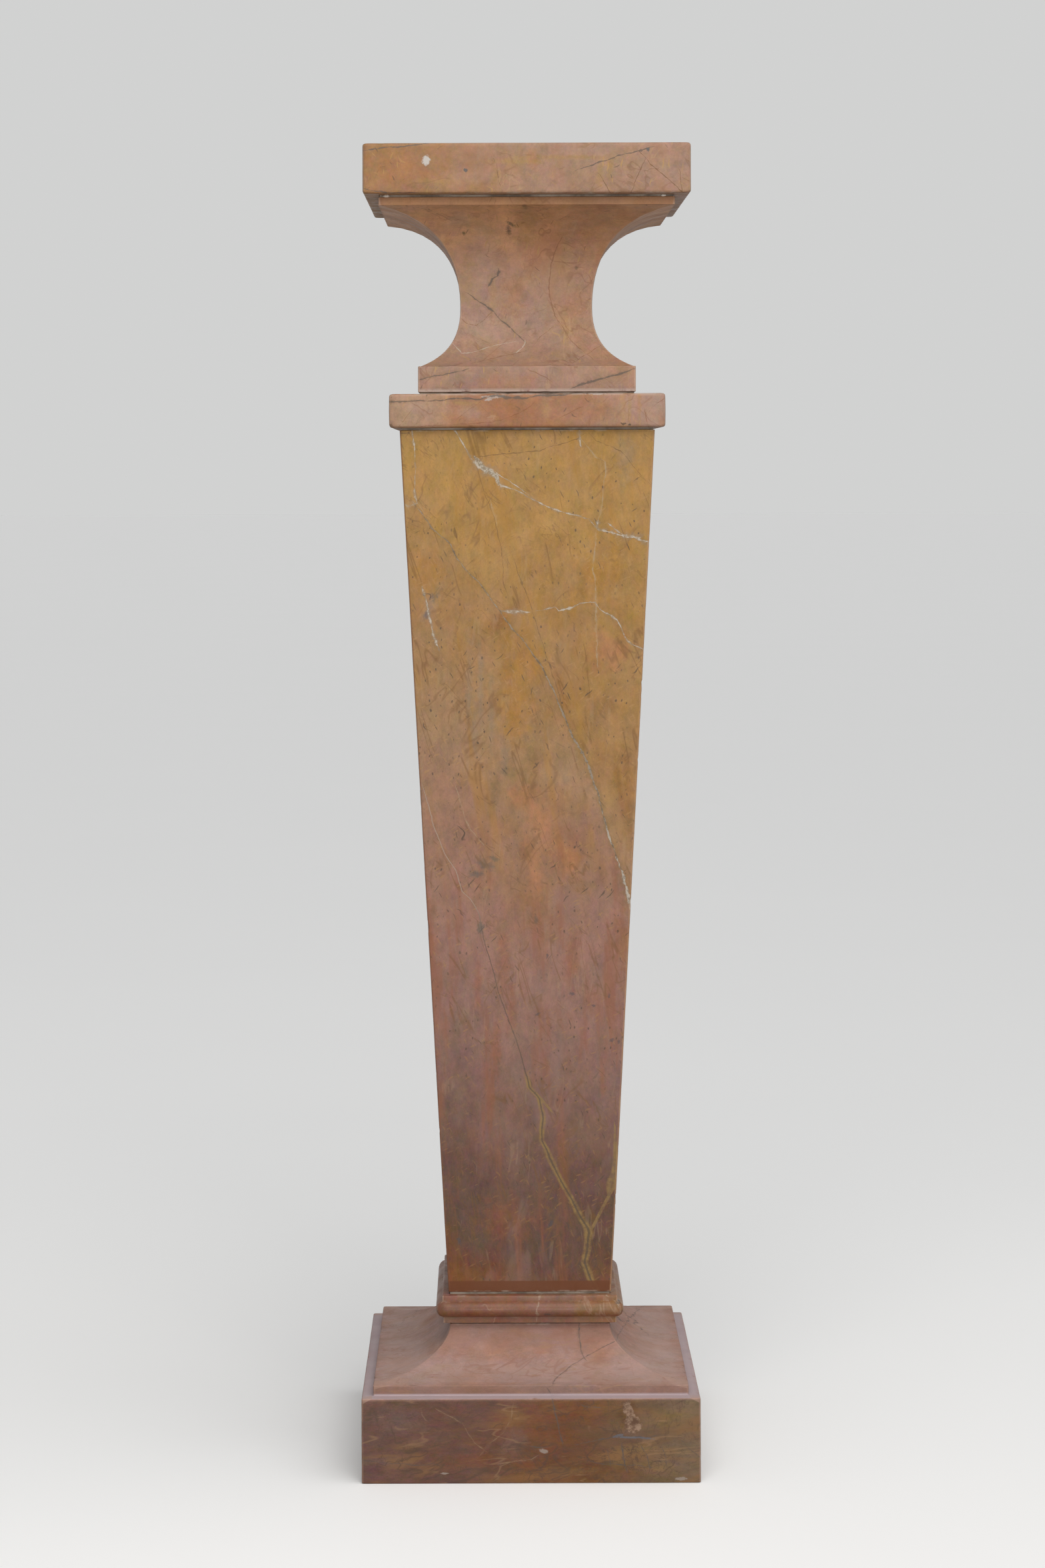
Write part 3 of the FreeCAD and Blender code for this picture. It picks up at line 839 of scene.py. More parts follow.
SHAFT_RED = [
    (757, 1440, 16, 90, 0), (768, 1510, 14, 70, 0), (746, 1570, 12, 70, 0), (718, 1480, 10, 60, 0),
    (640, 1400, 30, 120, 0), (860, 1440, 20, 80, 0), (905, 1610, 8, 60, 0), (760, 1830, 60, 50, 0),
]
SHAFT_SMOKE = [
    (729, 1297, 24, 12, 30), (715, 1311, 16, 8, 0), (742, 1288, 14, 6, 20), (722, 1392, 8, 16, 0),
    (805, 1381, 6, 10, 0), (652, 895, 9, 12, 0), (640, 922, 6, 12, 20),
]
SHAFT_BLUE = [
    (822, 1434, 3, 7, 10), (859, 1491, 7, 4, 0), (891, 1509, 5, 3, 0), (919, 1561, 7, 5, 0),
    (929, 1563, 4, 5, 0), (915, 1494, 3, 6, 0), (827, 1836, 6, 10, 30), (690, 1862, 5, 14, -20),
    (808, 1521, 7, 3, -30),
]
SHAFT_CRUST = [(722, 697, 32, 7, 50), (738, 709, 20, 7, 48), (746, 719, 5, 18, -15)]
SHAFT_UMBER = [(860, 950, 180, 260, 0), (800, 1260, 130, 240, 0)]
# Each row has the spots, the share, the colour and the grain of one kind of patch.
SHAFT_PATCHES = [
    (SHAFT_UMBER, 0.34, (0.26, 0.120, 0.026), 40),
    (SHAFT_GOLD, 0.62, (0.35, 0.165, 0.020), 90),
    (SHAFT_GREY, 0.50, (0.25, 0.180, 0.115), 130),
    (SHAFT_ORANGE, 0.60, (0.40, 0.170, 0.070), 110),
    (SHAFT_ARCH, 0.50, (0.20, 0.120, 0.048), 130),
    (SHAFT_BROWN, 0.45, (0.24, 0.100, 0.022), 110),
    (SHAFT_RED, 0.42, (0.27, 0.090, 0.038), 110),
    (SHAFT_SMOKE, 0.75, (0.115, 0.098, 0.085), 300),
]
# Rows for Marble.lines, and below them for Marble.strokes.
SHAFT_LINES = [
    (34, -17, 0.14, 0.020, 0.50, 0.50, (0.16, 0.074, 0.020)),
    (26, 35, 0.30, 0.018, 0.40, 0.45, (0.18, 0.085, 0.032)),
    (60, -50, 0.25, 0.018, 0.36, 0.42, (0.15, 0.075, 0.028)),
    (40, 4, 0.12, 0.020, 0.36, 0.16, (0.44, 0.31, 0.18)),
]
SHAFT_WORM_RAMP = [(0.0, (0.26, 0.130, 0.048)), (0.6, (0.42, 0.235, 0.095))]
SHAFT_WORMS = [(0.0040, 0.0048, 0.0012, 62, 0.45, 0.42), (0.0048, 0.0052, 0.0012, -28, 0.42, 0.40)]
SHAFT_STROKES = [
    (0.0045, 0.0060, 0.0008, -24, 0.20, 0.75), (0.0070, 0.0085, 0.0009, 38, 0.20, 0.75),
    (0.0052, 0.0022, 0.0012, 0, 0.24, 0.75), (0.0160, 0.0110, 0.0014, -40, 0.24, 0.85),
]


def shaft_colour(marble, height):
    """Ochre at the head, mauve-pink below, with the border along the main vein."""
    clouds = marble.noise(9, 4.0, 0.55, 0.8, marble.stretched((1.6, 1.6, 0.8)))
    right, left = marble.side_of(SHAFT_MAIN, 0.003), marble.remap(marble.x, 0.0, -0.09)
    lifted = marble.math("ADD", height, marble.math("MULTIPLY_ADD", clouds, 0.12, -0.06))
    for mask, lift in ((right, 0.12), (left, -0.04)):
        lifted = marble.math("MULTIPLY_ADD", mask, lift, lifted)
    marble.colour = marble.ramp(lifted, SHAFT_RAMP)


def shaft_texture(marble, height):
    lower = marble.remap(height, *SHAFT_LOWER_PART)
    upper = marble.math("SUBTRACT", 1.0, lower)
    marble.mottle(0.60, 0.042, 66, marble.stretched((1.0, 1.0, 0.6)))
    marble.streaks((0.37, 0.18, 0.026), 34, -8, 0.16, 0.52, 0.66, 0.5, within=upper)
    marble.streaks((0.37, 0.210, 0.135), 30, 12, 0.25, 0.56, 0.70, 0.2, 4.0, upper)
    marble.streaks((0.26, 0.090, 0.040), 40, -3, 0.14, 0.50, 0.66, 0.55, 8.0, lower)
    marble.streaks((0.27, 0.165, 0.135), 22, 6, 0.4, 0.54, 0.68, 0.35, 12.0, lower)
    marble.lines(SHAFT_LINES)
    marble.strokes(SHAFT_STROKES, DARK)
    marble.strokes(SHAFT_WORMS, marble.ramp(height, SHAFT_WORM_RAMP))


def shaft_veins(marble, height, crusted):
    marble.draw(SHAFT_DARK, (0.15, 0.080, 0.030), 0.6, halo=3)
    share = marble.fitful(0.12, 0.62)
    marble.draw(SHAFT_THIN, (0.38, 0.30, 0.20), share, around=(PALE, 0.15), halo=3, thick=0.8)
    flesh = marble.mix(marble.broken, (0.27, 0.215, 0.145), WHITE)
    share = marble.fitful(0.35, 0.78)
    marble.draw(SHAFT_WHITE, flesh, share, around=(GREY, 0.3), halo=2.2, thick=0.8)
    crust = marble.remap(marble.noise(520, 3.0, 0.8), 0.42, 0.60)
    marble.tint(marble.mix(crust, (0.235, 0.185, 0.125), (0.50, 0.44, 0.35)), crusted, 0.8)

    main, around = marble.vein(SHAFT_MAIN, halo=3.5, thick=0.85)
    marble.tint((0.21, 0.125, 0.040), around, 0.3)
    whitish = marble.joined("MAXIMUM", [
        marble.times(marble.remap(height, *MAIN_PALE_LOW_PART), marble.broken),
        marble.times(marble.remap(height, *MAIN_PALE_HEAD), marble.broken, 0.6),
        marble.times(marble.broken, 0.4),
    ])
    marble.tint(marble.mix(whitish, (0.130, 0.092, 0.056), (0.50, 0.45, 0.38)), main, 0.85)

    olive_part = marble.remap(height, *LONG_OLIVE_PART)
    branch, branch_band = marble.veins(SHAFT_BRANCH, halo=2.6, calm=0.5)
    long, long_band = marble.vein(SHAFT_LONG, halo=3.4, thick=0.85, calm=0.7)
    band = marble.math("MAXIMUM", marble.times(long_band, olive_part), branch_band)
    curd = marble.remap(marble.noise(150, 4.0, 0.7), 0.38, 0.58, 0.3, 0.85)
    marble.tint(OLIVE, band, curd)
    pale_part = marble.remap(height, *LONG_PALE_PART)
    line_colour = marble.mix(pale_part, (0.080, 0.058, 0.040), (0.36, 0.28, 0.22))
    marble.tint(line_colour, long, marble.remap(olive_part, 0, 1, 0.65, 0.72))
    marble.tint((0.12, 0.085, 0.05), branch, 0.2)


def shaft_material():
    marble = Marble(STONES["shaft"])
    foot, head = marble.stone.foot, marble.stone.head
    height = marble.remap(marble.z, foot, head, smooth=False)
    shaft_colour(marble, height)
    marble.patches(SHAFT_PATCHES)
    shaft_texture(marble, height)
    marble.net(11, 0.011, 0.14, 0.5, (0.17, 0.085, 0.04))
    marble.blot(SHAFT_BLUE, 0.6, (0.060, 0.058, 0.066), rough=0.9, soft=0.5)
    crusted = marble.spots(SHAFT_CRUST, soft=0.3, grain=420)
    shaft_veins(marble, height, crusted)
    stain = marble.remap(marble.z, foot + 0.0105, foot + 0.0095)
    marble.tint((0.130, 0.040, 0.012), stain, 0.92)
    marble.residue(0.5, MORTAR, [foot, head])
    # Painted highlight on the arrises: darker and browner on the left, paler and warmer on the
    # right, as the lamps fall.
    right = marble.math("GREATER_THAN", marble.x, 0)
    edge = marble.mix(right, (0.24, 0.105, 0.060), (0.50, 0.30, 0.17))
    return marble.finish(pits=marble.times(crusted, 0.5), edge=edge)


TOP_DARK = [
    ("x", [(550, 225, 1.5), (575, 221.5, 2), (598, 219.5, 2), (653, 214, 1), (665, 213, 0)]),
    ("x", [(860, 257, 0), (880, 251, 1.5), (900, 243, 3), (912, 240, 2), (926, 235, 1.5),
        (945, 230, 2), (962, 226, 3), (973, 224, 2), (985, 221, 0)]),
    ("x", [(555, 284, 1), (575, 288, 3), (600, 289, 2), (624, 289, 1), (640, 289, 0)]),
]
TOP_BROWN = [
    ("x", [(952, 222, 0), (958, 227, 1), (968, 236, 2), (975, 246, 2), (991, 260, 2),
        (1020, 285, 2)]),
    ("z", [(969, 236, 0), (968, 240, 1), (962, 253, 1.5), (956, 268, 1), (947, 287, 1)]),
    ("z", [(895, 258, 0), (900, 262, 1.5), (908, 276, 1.5), (915, 290, 1)]),
    ("z", [(745, 240, 0), (746, 256, 1.2), (749, 272, 1), (753, 282, 0)]),
    ("z", [(1018, 250, 0), (1020, 262, 1.2), (1023, 280, 1)]),
    ("x", [(556, 282, 0), (570, 250, 1), (582, 246, 0)]),
]


TOP_BLUE = [(698.5, 255, 6, 5), (971.6, 225, 6, 6)]
TOP_KNOT = [(639, 240, 11, 14, 15)]
TOP_RAMP = [
    (0.00, (0.298, 0.156, 0.065)),
    (0.30, (0.312, 0.168, 0.086)),
    (0.50, (0.325, 0.190, 0.120)),
    (0.75, (0.328, 0.192, 0.125)),
    (1.00, (0.335, 0.198, 0.132)),
]
TOP_LINES = [
    (34, 78, 0.30, 0.020, 0.38, 0.35, (0.20, 0.095, 0.040)),
    (26, -48, 0.45, 0.018, 0.40, 0.40, (0.18, 0.085, 0.038)),
    (50, 20, 0.30, 0.018, 0.35, 0.35, (0.46, 0.30, 0.15)),
]
TOP_STROKES = [(0.0060, 0.0040, 0.0008, -30, 0.20, 0.55), (0.0080, 0.0050, 0.0009, 60, 0.20, 0.55)]
YELLOW_WORMS = [(0.0060, 0.0075, 0.0012, 5, 0.34, 0.60), (0.0075, 0.0080, 0.0012, -50, 0.30, 0.50)]
TOP_PATCHES = [
    ([(592, 250, 60, 60), (800, 240, 16, 26), (650, 262, 70, 20)], 0.45, (0.35, 0.145, 0.050),
        110),
    ([(781, 237, 26, 6), (770, 242, 90, 7), (742, 262, 12, 26), (850, 236, 120, 6),
        (900, 262, 10, 30), (915, 250, 10, 34), (640, 272, 60, 7)], 0.50, (0.34, 0.200, 0.065),
        220),
    ([(700, 262, 60, 20), (880, 225, 60, 12), (990, 262, 60, 30)], 0.45, (0.36, 0.235, 0.170),
        110),
]


def across_ramp(marble, columns, row, stops, clouds=0.5, scale=12):
    """A colour that changes from one column of the picture to another, in clouds."""
    left, right = (marble.stone.on_front(column, row)[0] for column in columns)
    share = marble.remap(marble.x, left, right, smooth=False)
    start = marble.math("ADD", share, -clouds / 2)
    cloud = marble.noise(scale, 4.0, 0.6, 0.8)
    return marble.ramp(marble.math("MULTIPLY_ADD", cloud, clouds, start), stops)


def top_material():
    marble = Marble(STONES["top_slab"])
    marble.colour = across_ramp(marble, (545, 1037), 250, TOP_RAMP)
    marble.patches(TOP_PATCHES)
    marble.mottle(0.52, 0.060, 64)
    marble.streaks((0.33, 0.150, 0.065), 30, 2, 0.3, 0.52, 0.66, 0.35, 3.0)
    marble.streaks((0.36, 0.225, 0.105), 26, 84, 0.3, 0.54, 0.68, 0.35, 9.0)
    marble.net(13, 0.012, 0.15, 0.5, (0.20, 0.10, 0.05))
    marble.lines(TOP_LINES)
    marble.strokes(YELLOW_WORMS, (0.44, 0.26, 0.085))
    marble.strokes(TOP_STROKES, DARK)
    marble.draw(TOP_BROWN, (0.16, 0.080, 0.032), 0.75)
    marble.draw(TOP_DARK, (0.13, 0.092, 0.070), 0.85)
    marble.blot(TOP_BLUE, 0.8, (0.075, 0.085, 0.090), rough=0.8)
    marble.blot(TOP_KNOT, 0.9, (0.54, 0.51, 0.47), rough=0.5, soft=0.3)
    marble.residue(0.6, MORTAR, [marble.stone.foot])
    return marble.finish()


NECK_DARK = [
    ("x", [(698, 437, 0), (704, 441, 1), (720, 452, 1.5), (735, 463, 4), (742, 468, 2),
        (752, 480, 1.2), (766, 491, 3), (773, 498, 1.5), (782, 506, 2), (790, 514, 1),
        (793, 517, 0)]),
    ("z", [(749, 402, 0), (749, 408, 5), (747, 414, 3), (740, 418, 3), (735, 428, 3),
        (733, 431, 0)]),
    ("x", [(636, 567, 1), (641, 566, 1.5), (663.6, 562, 2), (682, 558, 2.5), (699, 554.7, 1),
        (706, 552, 0)]),
    ("x", [(846, 589, 0), (852, 587, 1), (865, 580, 2), (876, 575, 5), (885, 573, 5),
        (898, 570, 2.5), (907.5, 567.7, 2), (918, 564, 2), (930, 561, 3), (941, 558, 2.5),
        (950, 555, 1.5)]),
]
NECK_BROWN = [
    ("z", [(846, 352, 0), (844, 358, 1.5), (834, 374, 2), (827, 400, 2), (825, 429, 2),
        (828, 452, 2), (834, 475, 2), (847, 494, 2), (860, 514, 2), (875, 527, 2), (892, 540, 1),
        (898, 545, 0)]),
    ("x", [(693, 478, 1), (704, 486, 1.5), (715.6, 488, 1.5), (727, 481, 1.5), (738, 470, 1.5),
        (742, 466, 0)]),
    ("x", [(858, 546, 0), (862, 543, 1), (882, 532, 1.5), (902.6, 519, 1.5), (912, 512, 0)]),
    ("x", [(790, 552, 0), (795, 555, 1), (809, 561, 1.5), (820, 566, 1.5), (828, 572, 1),
        (832, 575, 0)]),
    ("x", [(902, 565, 0), (905, 567, 1), (912, 570, 1.5), (919, 576, 1), (922, 579, 0)]),
    ("z", [(800, 520, 0), (812, 505, 1.2), (825, 495, 1.2), (840, 482, 0)]),
    ("x", [(696, 548, 0), (730, 541, 1), (765, 532, 1.5), (787, 527, 1), (794, 524, 0)]),
]
NECK_WHITE = [
    ("x", [(678, 513, 0), (684, 519, 2), (694, 530, 2), (712, 528, 1.2), (741, 519, 1),
        (762, 514, 1), (782, 511, 0)]),
    ("z", [(789, 509, 0), (789, 514, 2), (785, 521, 2), (776, 529, 2), (768, 531, 0)]),
]


# The stops at 0.20 and 0.42, which the neck takes near its head, are painted light: much lighter
# than the stone's own tone, so the down-facing upper hollow looks lit.
NECK_RAMP_WITH_PAINTED_LIGHT = [
    (0.20, (0.690, 0.370, 0.180)),
    (0.42, (0.415, 0.230, 0.141)),
    (0.55, (0.345, 0.210, 0.154)),
    (0.70, (0.345, 0.206, 0.136)),
    (0.85, (0.272, 0.166, 0.138)),
]
NECK_LINES = [
    (30, -40, 0.40, 0.018, 0.42, 0.42, (0.20, 0.085, 0.040)),
    (24, 55, 0.50, 0.016, 0.40, 0.40, (0.21, 0.095, 0.048)),
    (46, 10, 0.30, 0.018, 0.40, 0.36, (0.46, 0.30, 0.17)),
]
NECK_STROKES = [
    (0.0060, 0.0040, 0.0008, 20, 0.22, 0.55), (0.0090, 0.0050, 0.0009, -60, 0.20, 0.55),
]
NECK_PATCHES = [
    ([(722, 388, 50, 70), (730, 505, 80, 50), (690, 330, 40, 20)], 0.40, (0.40, 0.265, 0.185),
        100),
    ([(820, 345, 70, 60), (770, 450, 30, 60), (860, 470, 26, 60, 20), (760, 575, 90, 24),
        (880, 350, 40, 40)], 0.42, (0.37, 0.175, 0.075), 100),
    ([(700, 420, 30, 60), (790, 330, 26, 60), (740, 440, 12, 50),
        (850, 500, 12, 40)], 0.45, (0.34, 0.200, 0.070), 130),
    ([(764, 346, 6, 12, -10), (767, 336, 12, 4, 30), (697, 350, 4, 5), (788, 310, 7, 4, 20),
        (866, 402, 4, 5)], 0.75, (0.105, 0.085, 0.045), 420),
]


def neck_material():
    marble = Marble(STONES["neck"])
    foot, head = marble.stone.foot, marble.stone.head
    height = marble.remap(marble.z, foot, head, smooth=False)
    # Towards the head the place falls into the ramp's lighter stops, which are painted light.
    fall = marble.math("MULTIPLY_ADD", height, -0.5, 0.60)
    clouds = marble.noise(11, 4.0, 0.6, 1.0)
    marble.colour = marble.ramp(marble.math("MULTIPLY_ADD", clouds, 0.4, fall), NECK_RAMP_WITH_PAINTED_LIGHT)
    right_of_crack = marble.side_of(NECK_BROWN[0][1], 0.0025)
    marble.tint((0.37, 0.185, 0.085), right_of_crack, 0.30)
    marble.patches(NECK_PATCHES)
    marble.mottle(0.54, 0.060, 60)
    marble.streaks((0.38, 0.165, 0.080), 26, 4, 0.35, 0.52, 0.68, 0.40, 3.0)
    marble.streaks((0.38, 0.245, 0.120), 30, -30, 0.5, 0.54, 0.70, 0.35, 9.0)
    marble.net(15, 0.012, 0.2, 0.5, (0.24, 0.095, 0.05))
    marble.lines(NECK_LINES)
    marble.strokes(YELLOW_WORMS, (0.44, 0.27, 0.105))
    marble.strokes(NECK_STROKES, DARK)
    marble.draw(NECK_BROWN, (0.22, 0.10, 0.05), 0.6)
    marble.draw(NECK_DARK, (0.095, 0.075, 0.060), 0.75, around=((0.20, 0.12, 0.07), 0.25))
    marble.draw(NECK_WHITE, WHITE, 0.55)
    # Painted shade: the neck's top band, under the top slab's overhang, is darkened.
    band = marble.remap(marble.z, head - 0.0076, head - 0.0068)
    marble.tint((0.26, 0.115, 0.045), band, 0.6)
    marble.residue(1.0, (0.54, 0.43, 0.37), [foot], 0.0040, 0.26)
    return marble.finish()


CAP_DARK = [
    ("x", [(585, 603, 2), (600, 602, 2), (618, 601, 1.2), (655, 600, 1), (689.6, 597.6, 3),
        (703, 597, 3.5), (722, 599, 2), (735, 594.5, 2.5), (748, 593, 4), (760, 597, 3.5),
        (787, 597, 3), (800, 596, 1.5), (816.5, 593.7, 3.5), (835, 592.5, 3), (852, 591.4, 2),
        (881.5, 590, 1.5), (905, 589, 0)]),
]
CAP_BROWN = [
    ("x", [(676, 637, 1), (700, 636, 1.5), (732, 634, 1.5), (752, 630, 1.5), (767.7, 624.6, 1.5),
        (784, 616, 1.5), (797, 608, 1.5), (806, 600, 0)]),
    ("x", [(684, 629, 0), (690, 625, 1), (706, 614, 1.5), (722, 602, 1), (726, 599, 0)]),
    ("x", [(826, 636, 0), (845, 625, 1.2), (866, 613, 1.2), (886, 604, 0)]),
    ("x", [(601, 636, 1), (612, 622, 1), (626, 608, 0)]),
    ("x", [(975, 615, 0), (988, 605, 1.2), (998, 598, 1)]),
    ("z", [(967, 612, 0), (969, 620, 2), (971, 630, 1)]),
]
CAP_SEAM = [(673, 598), (676, 611), (673, 622), (675, 641)]
CAP_WHITE = [(741, 595, 34, 5, -2), (733, 599, 12, 4, -10), (896, 591, 30, 3)]
CAP_SPECKS = [(936, 636, 8, 4), (945, 637, 4, 3)]


CAP_RAMP = [
    (0.00, (0.360, 0.220, 0.142)),
    (0.20, (0.342, 0.182, 0.102)),
    (0.45, (0.314, 0.144, 0.070)),
    (0.62, (0.320, 0.152, 0.076)),
    (0.80, (0.342, 0.192, 0.124)),
    (1.00, (0.356, 0.224, 0.168)),
]
CAP_LINES = [
    (34, 60, 0.40, 0.018, 0.42, 0.42, (0.20, 0.080, 0.035)),
    (28, -35, 0.50, 0.018, 0.40, 0.40, (0.20, 0.085, 0.040)),
    (50, 85, 0.30, 0.018, 0.35, 0.32, (0.45, 0.30, 0.18)),
]
CAP_PATCHES = [
    ([(625, 612, 60, 34), (700, 620, 40, 20), (960, 618, 60, 30)], 0.40, (0.38, 0.250, 0.175),
        100),
    ([(935, 615, 8, 50), (945, 618, 5, 50), (960, 614, 5, 50), (700, 604, 40, 5),
        (820, 612, 12, 30)], 0.50, (0.37, 0.225, 0.085), 220),
    ([(690, 632, 40, 14), (900, 620, 50, 20), (760, 615, 60, 20)], 0.40, (0.33, 0.130, 0.055),
        110),
]


def cap_material():
    marble = Marble(STONES["cap_slab"])
    marble.colour = across_ramp(marble, (585, 1001), 615, CAP_RAMP, 0.4, 16)
    left = marble.math("SUBTRACT", 1.0, marble.side_of(CAP_SEAM, 0.0015))
    marble.tint((0.385, 0.240, 0.150), left, 0.4)
    marble.patches(CAP_PATCHES)
    marble.mottle(0.52, 0.060, 64)
    marble.streaks((0.35, 0.150, 0.070), 34, 10, 0.4, 0.52, 0.68, 0.35, 3.0)
    marble.net(15, 0.012, 0.15, 0.5, (0.22, 0.085, 0.04))
    marble.lines(CAP_LINES)
    marble.strokes(YELLOW_WORMS, (0.44, 0.26, 0.105))
    marble.strokes(NECK_STROKES, DARK)
    marble.draw(CAP_BROWN, (0.22, 0.085, 0.035), 0.6)
    marble.blot(CAP_WHITE, 0.75, (0.46, 0.40, 0.36))
    marble.draw(CAP_DARK, (0.105, 0.080, 0.062), 0.8, around=((0.24, 0.13, 0.075), 0.3))
    marble.blot(CAP_SPECKS, 0.8, DARK, rough=0.8)
    marble.residue(0.8, (0.48, 0.38, 0.32), [marble.stone.head], bare=0.40)
    return marble.finish()


COLLAR_STEP = 0.0053
COLLAR_BORDER = [(862, 1944), (866, 1965), (864, 1986)]
COLLAR_PALE = [
    ("z", [(810, 1944, 4), (809, 1955, 4), (806, 1964, 3), (807, 1973, 4), (806, 1986, 1)]),
    ("z", [(921, 1950, 2), (929, 1956, 4), (932, 1966, 3), (930, 1978, 1)]),
]
COLLAR_MARKS = [(929, 1953, 9, 5), (822, 1972, 8, 4)]
COLLAR_RAMP = [
    (0.30, (0.180, 0.068, 0.036)),
    (0.48, (0.196, 0.082, 0.044)),
    (0.62, (0.190, 0.093, 0.060)),
    (0.78, (0.180, 0.100, 0.073)),
]
COLLAR_LINES = [
    (40, 70, 0.40, 0.018, 0.40, 0.45, (0.11, 0.045, 0.022)),
    (30, -30, 0.50, 0.018, 0.40, 0.40, (0.36, 0.24, 0.16)),
]


def collar_material():
    marble = Marble(STONES["collar"])
    clouds = marble.noise(16, 4.0, 0.6, 0.6, marble.stretched((1.0, 1.0, 2.0)))
    marble.colour = marble.ramp(clouds, COLLAR_RAMP)
    marble.tint((0.26, 0.125, 0.040), marble.side_of(COLLAR_BORDER), 0.45)
    marble.mottle(0.60, 0.050, 64)
    marble.lines(COLLAR_LINES)
    marble.strokes(NECK_STROKES, DARK)
    marble.draw(COLLAR_PALE, (0.40, 0.31, 0.23), marble.broken, 0.5)
    marble.blot(COLLAR_MARKS, 0.7, (0.09, 0.065, 0.05))
    foot, head = marble.stone.foot, marble.stone.head
    corners = [foot, foot + COLLAR_STEP, head - COLLAR_STEP, head]
    marble.residue(0.55, (0.40, 0.30, 0.23), corners, 0.0014, 0.52)
    return marble.finish(0.36, 0.52)


PLINTH_DARK = [
    ("z", [(820, 2060, 0), (822.4, 2065.7, 1.5), (827.5, 2079, 2.5), (828.5, 2096, 2.5),
        (830.9, 2116, 3), (836, 2133, 3), (839, 2148, 2.5), (842.7, 2162, 2.5), (844, 2168, 0)]),
    ("z", [(869, 1986, 1), (869.8, 1994, 2.5), (869.8, 2008, 2.5), (871, 2018, 3), (873, 2026, 3),
        (878, 2038.6, 2), (882, 2044, 0)]),
    ("x", [(860, 2167, 0), (866, 2166, 1), (874.8, 2165, 1.5), (901.9, 2160, 1.5), (918, 2157, 2),
        (927, 2155, 5), (936, 2157, 5), (946, 2158.6, 4), (958, 2157, 5), (970, 2158, 3),
        (980, 2155, 1.5), (990, 2152, 0)]),
    ("z", [(932, 2163, 0), (932, 2169, 3), (934, 2184, 3), (938, 2196, 3), (940.7, 2206, 2),
        (942, 2212, 0)]),
    ("z", [(911, 2174, 0), (912, 2180, 2), (914, 2190, 2), (916, 2199, 1), (917, 2204, 0)]),
    ("z", [(958, 2164, 0), (962, 2172, 2), (971, 2184, 2), (974.6, 2201, 1.5), (976, 2208, 0)]),
    ("z", [(991, 2166, 0), (994, 2174, 1.5), (998, 2184, 2), (998, 2198, 1), (998, 2203, 0)]),
    ("x", [(1018, 2158, 0), (1026, 2166, 1.5), (1035, 2175, 1.5), (1049, 2186, 1)]),
    ("x", [(790, 2168, 0), (800, 2171, 1.5), (812, 2174, 2), (822, 2172, 1), (828, 2170, 0)]),
    ("x", [(866, 2103, 0), (876, 2109, 1.5), (890, 2112, 2.5), (900, 2113, 1), (905, 2113, 0)]),
    ("x", [(878, 2190, 0), (900, 2196, 1.5), (930, 2197, 1.5), (960, 2199, 1.5), (990, 2204, 0)]),
    ("x", [(545, 2190, 1), (580, 2194, 1), (620, 2197, 1.5), (650, 2196, 1), (690, 2199, 0)]),
]
PLINTH_PALE = [
    ("x", [(652, 2112, 0), (658.5, 2116, 2.5), (668, 2121, 3.5), (678.7, 2124.8, 3),
        (694, 2135, 2.5), (700.7, 2148.5, 2), (712.6, 2165.4, 2.5), (729.5, 2177, 2),
        (736, 2182, 0)]),
    ("z", [(771, 2099, 0), (770, 2103, 1.5), (768, 2116, 3), (766.6, 2130, 3), (754.8, 2150, 4),
        (732.8, 2167, 4), (722.7, 2180.6, 2), (718, 2186, 0)]),
    ("x", [(742, 2198, 0), (750, 2197, 2), (773, 2192, 2), (797, 2189, 2.5), (806, 2185, 1),
        (811, 2182, 0)]),
    ("x", [(862, 2064, 0), (868, 2062, 2), (884, 2056, 2), (901.9, 2052, 2.5), (916, 2046, 2),
        (932, 2043, 1.5), (940, 2040, 0)]),
    ("z", [(632, 2112, 0), (632, 2120, 2), (638, 2130, 1.5), (646, 2136, 0)]),
    ("z", [(869, 2004, 0), (869, 2009, 5), (871, 2012, 3), (872, 2024, 1.5), (876, 2034, 0)]),
]


PLINTH_TANGLE = [(950, 2190, 200, 50)]
PLINTH_PEBBLES = [(816, 2177, 13, 6, 8), (667, 2210, 10, 3), (1022, 2219, 16, 5)]
PLINTH_SEAM = [(942, 2157, 34, 3, 2), (928, 2154, 16, 4, -14), (968, 2158, 26, 3, 6)]
PLINTH_GOUGE = [(941, 2112, 14, 22), (946, 2124, 14, 20, -20), (949, 2137, 24, 24, 20)]
# Levels of the plinth, as Marble.between takes them: its ledge, its band and the flare's foot.
LEDGE = 0.075
LEDGE_LEVELS = (0.0742, 0.0752), (0.0775, 0.0756)
BAND_LEVELS = (0.0755, 0.0762), (0.0842, 0.0834)
FLARE_FOOT_LEVELS = (0.0838, 0.0846), (0.096, 0.088)
# The block's front colours, far darker than the up-facing flare's: partly the stone's own colour,
# partly painted shade.
PLINTH_BLOCK = [
    (0.05, (0.124, 0.060, 0.044)),
    (0.30, (0.126, 0.057, 0.037)),
    (0.46, (0.134, 0.052, 0.022)),
    (0.60, (0.136, 0.050, 0.016)),
    (0.76, (0.150, 0.075, 0.031)),
    (0.95, (0.160, 0.102, 0.058)),
]
PLINTH_FLARE = [
    (0.30, (0.315, 0.160, 0.110)),
    (0.48, (0.340, 0.195, 0.150)),
    (0.62, (0.345, 0.215, 0.185)),
    (0.78, (0.330, 0.205, 0.125)),
]
PLINTH_INK_LINES = [
    (30, 82, 0.25, 0.020, 0.48, 0.55), (34, 60, 0.40, 0.018, 0.46, 0.55),
    (28, -38, 0.45, 0.018, 0.44, 0.55),
]
PLINTH_GOLD_LINES = [(44, 86, 0.20, 0.022, 0.42, 0.38, (0.32, 0.185, 0.095))]
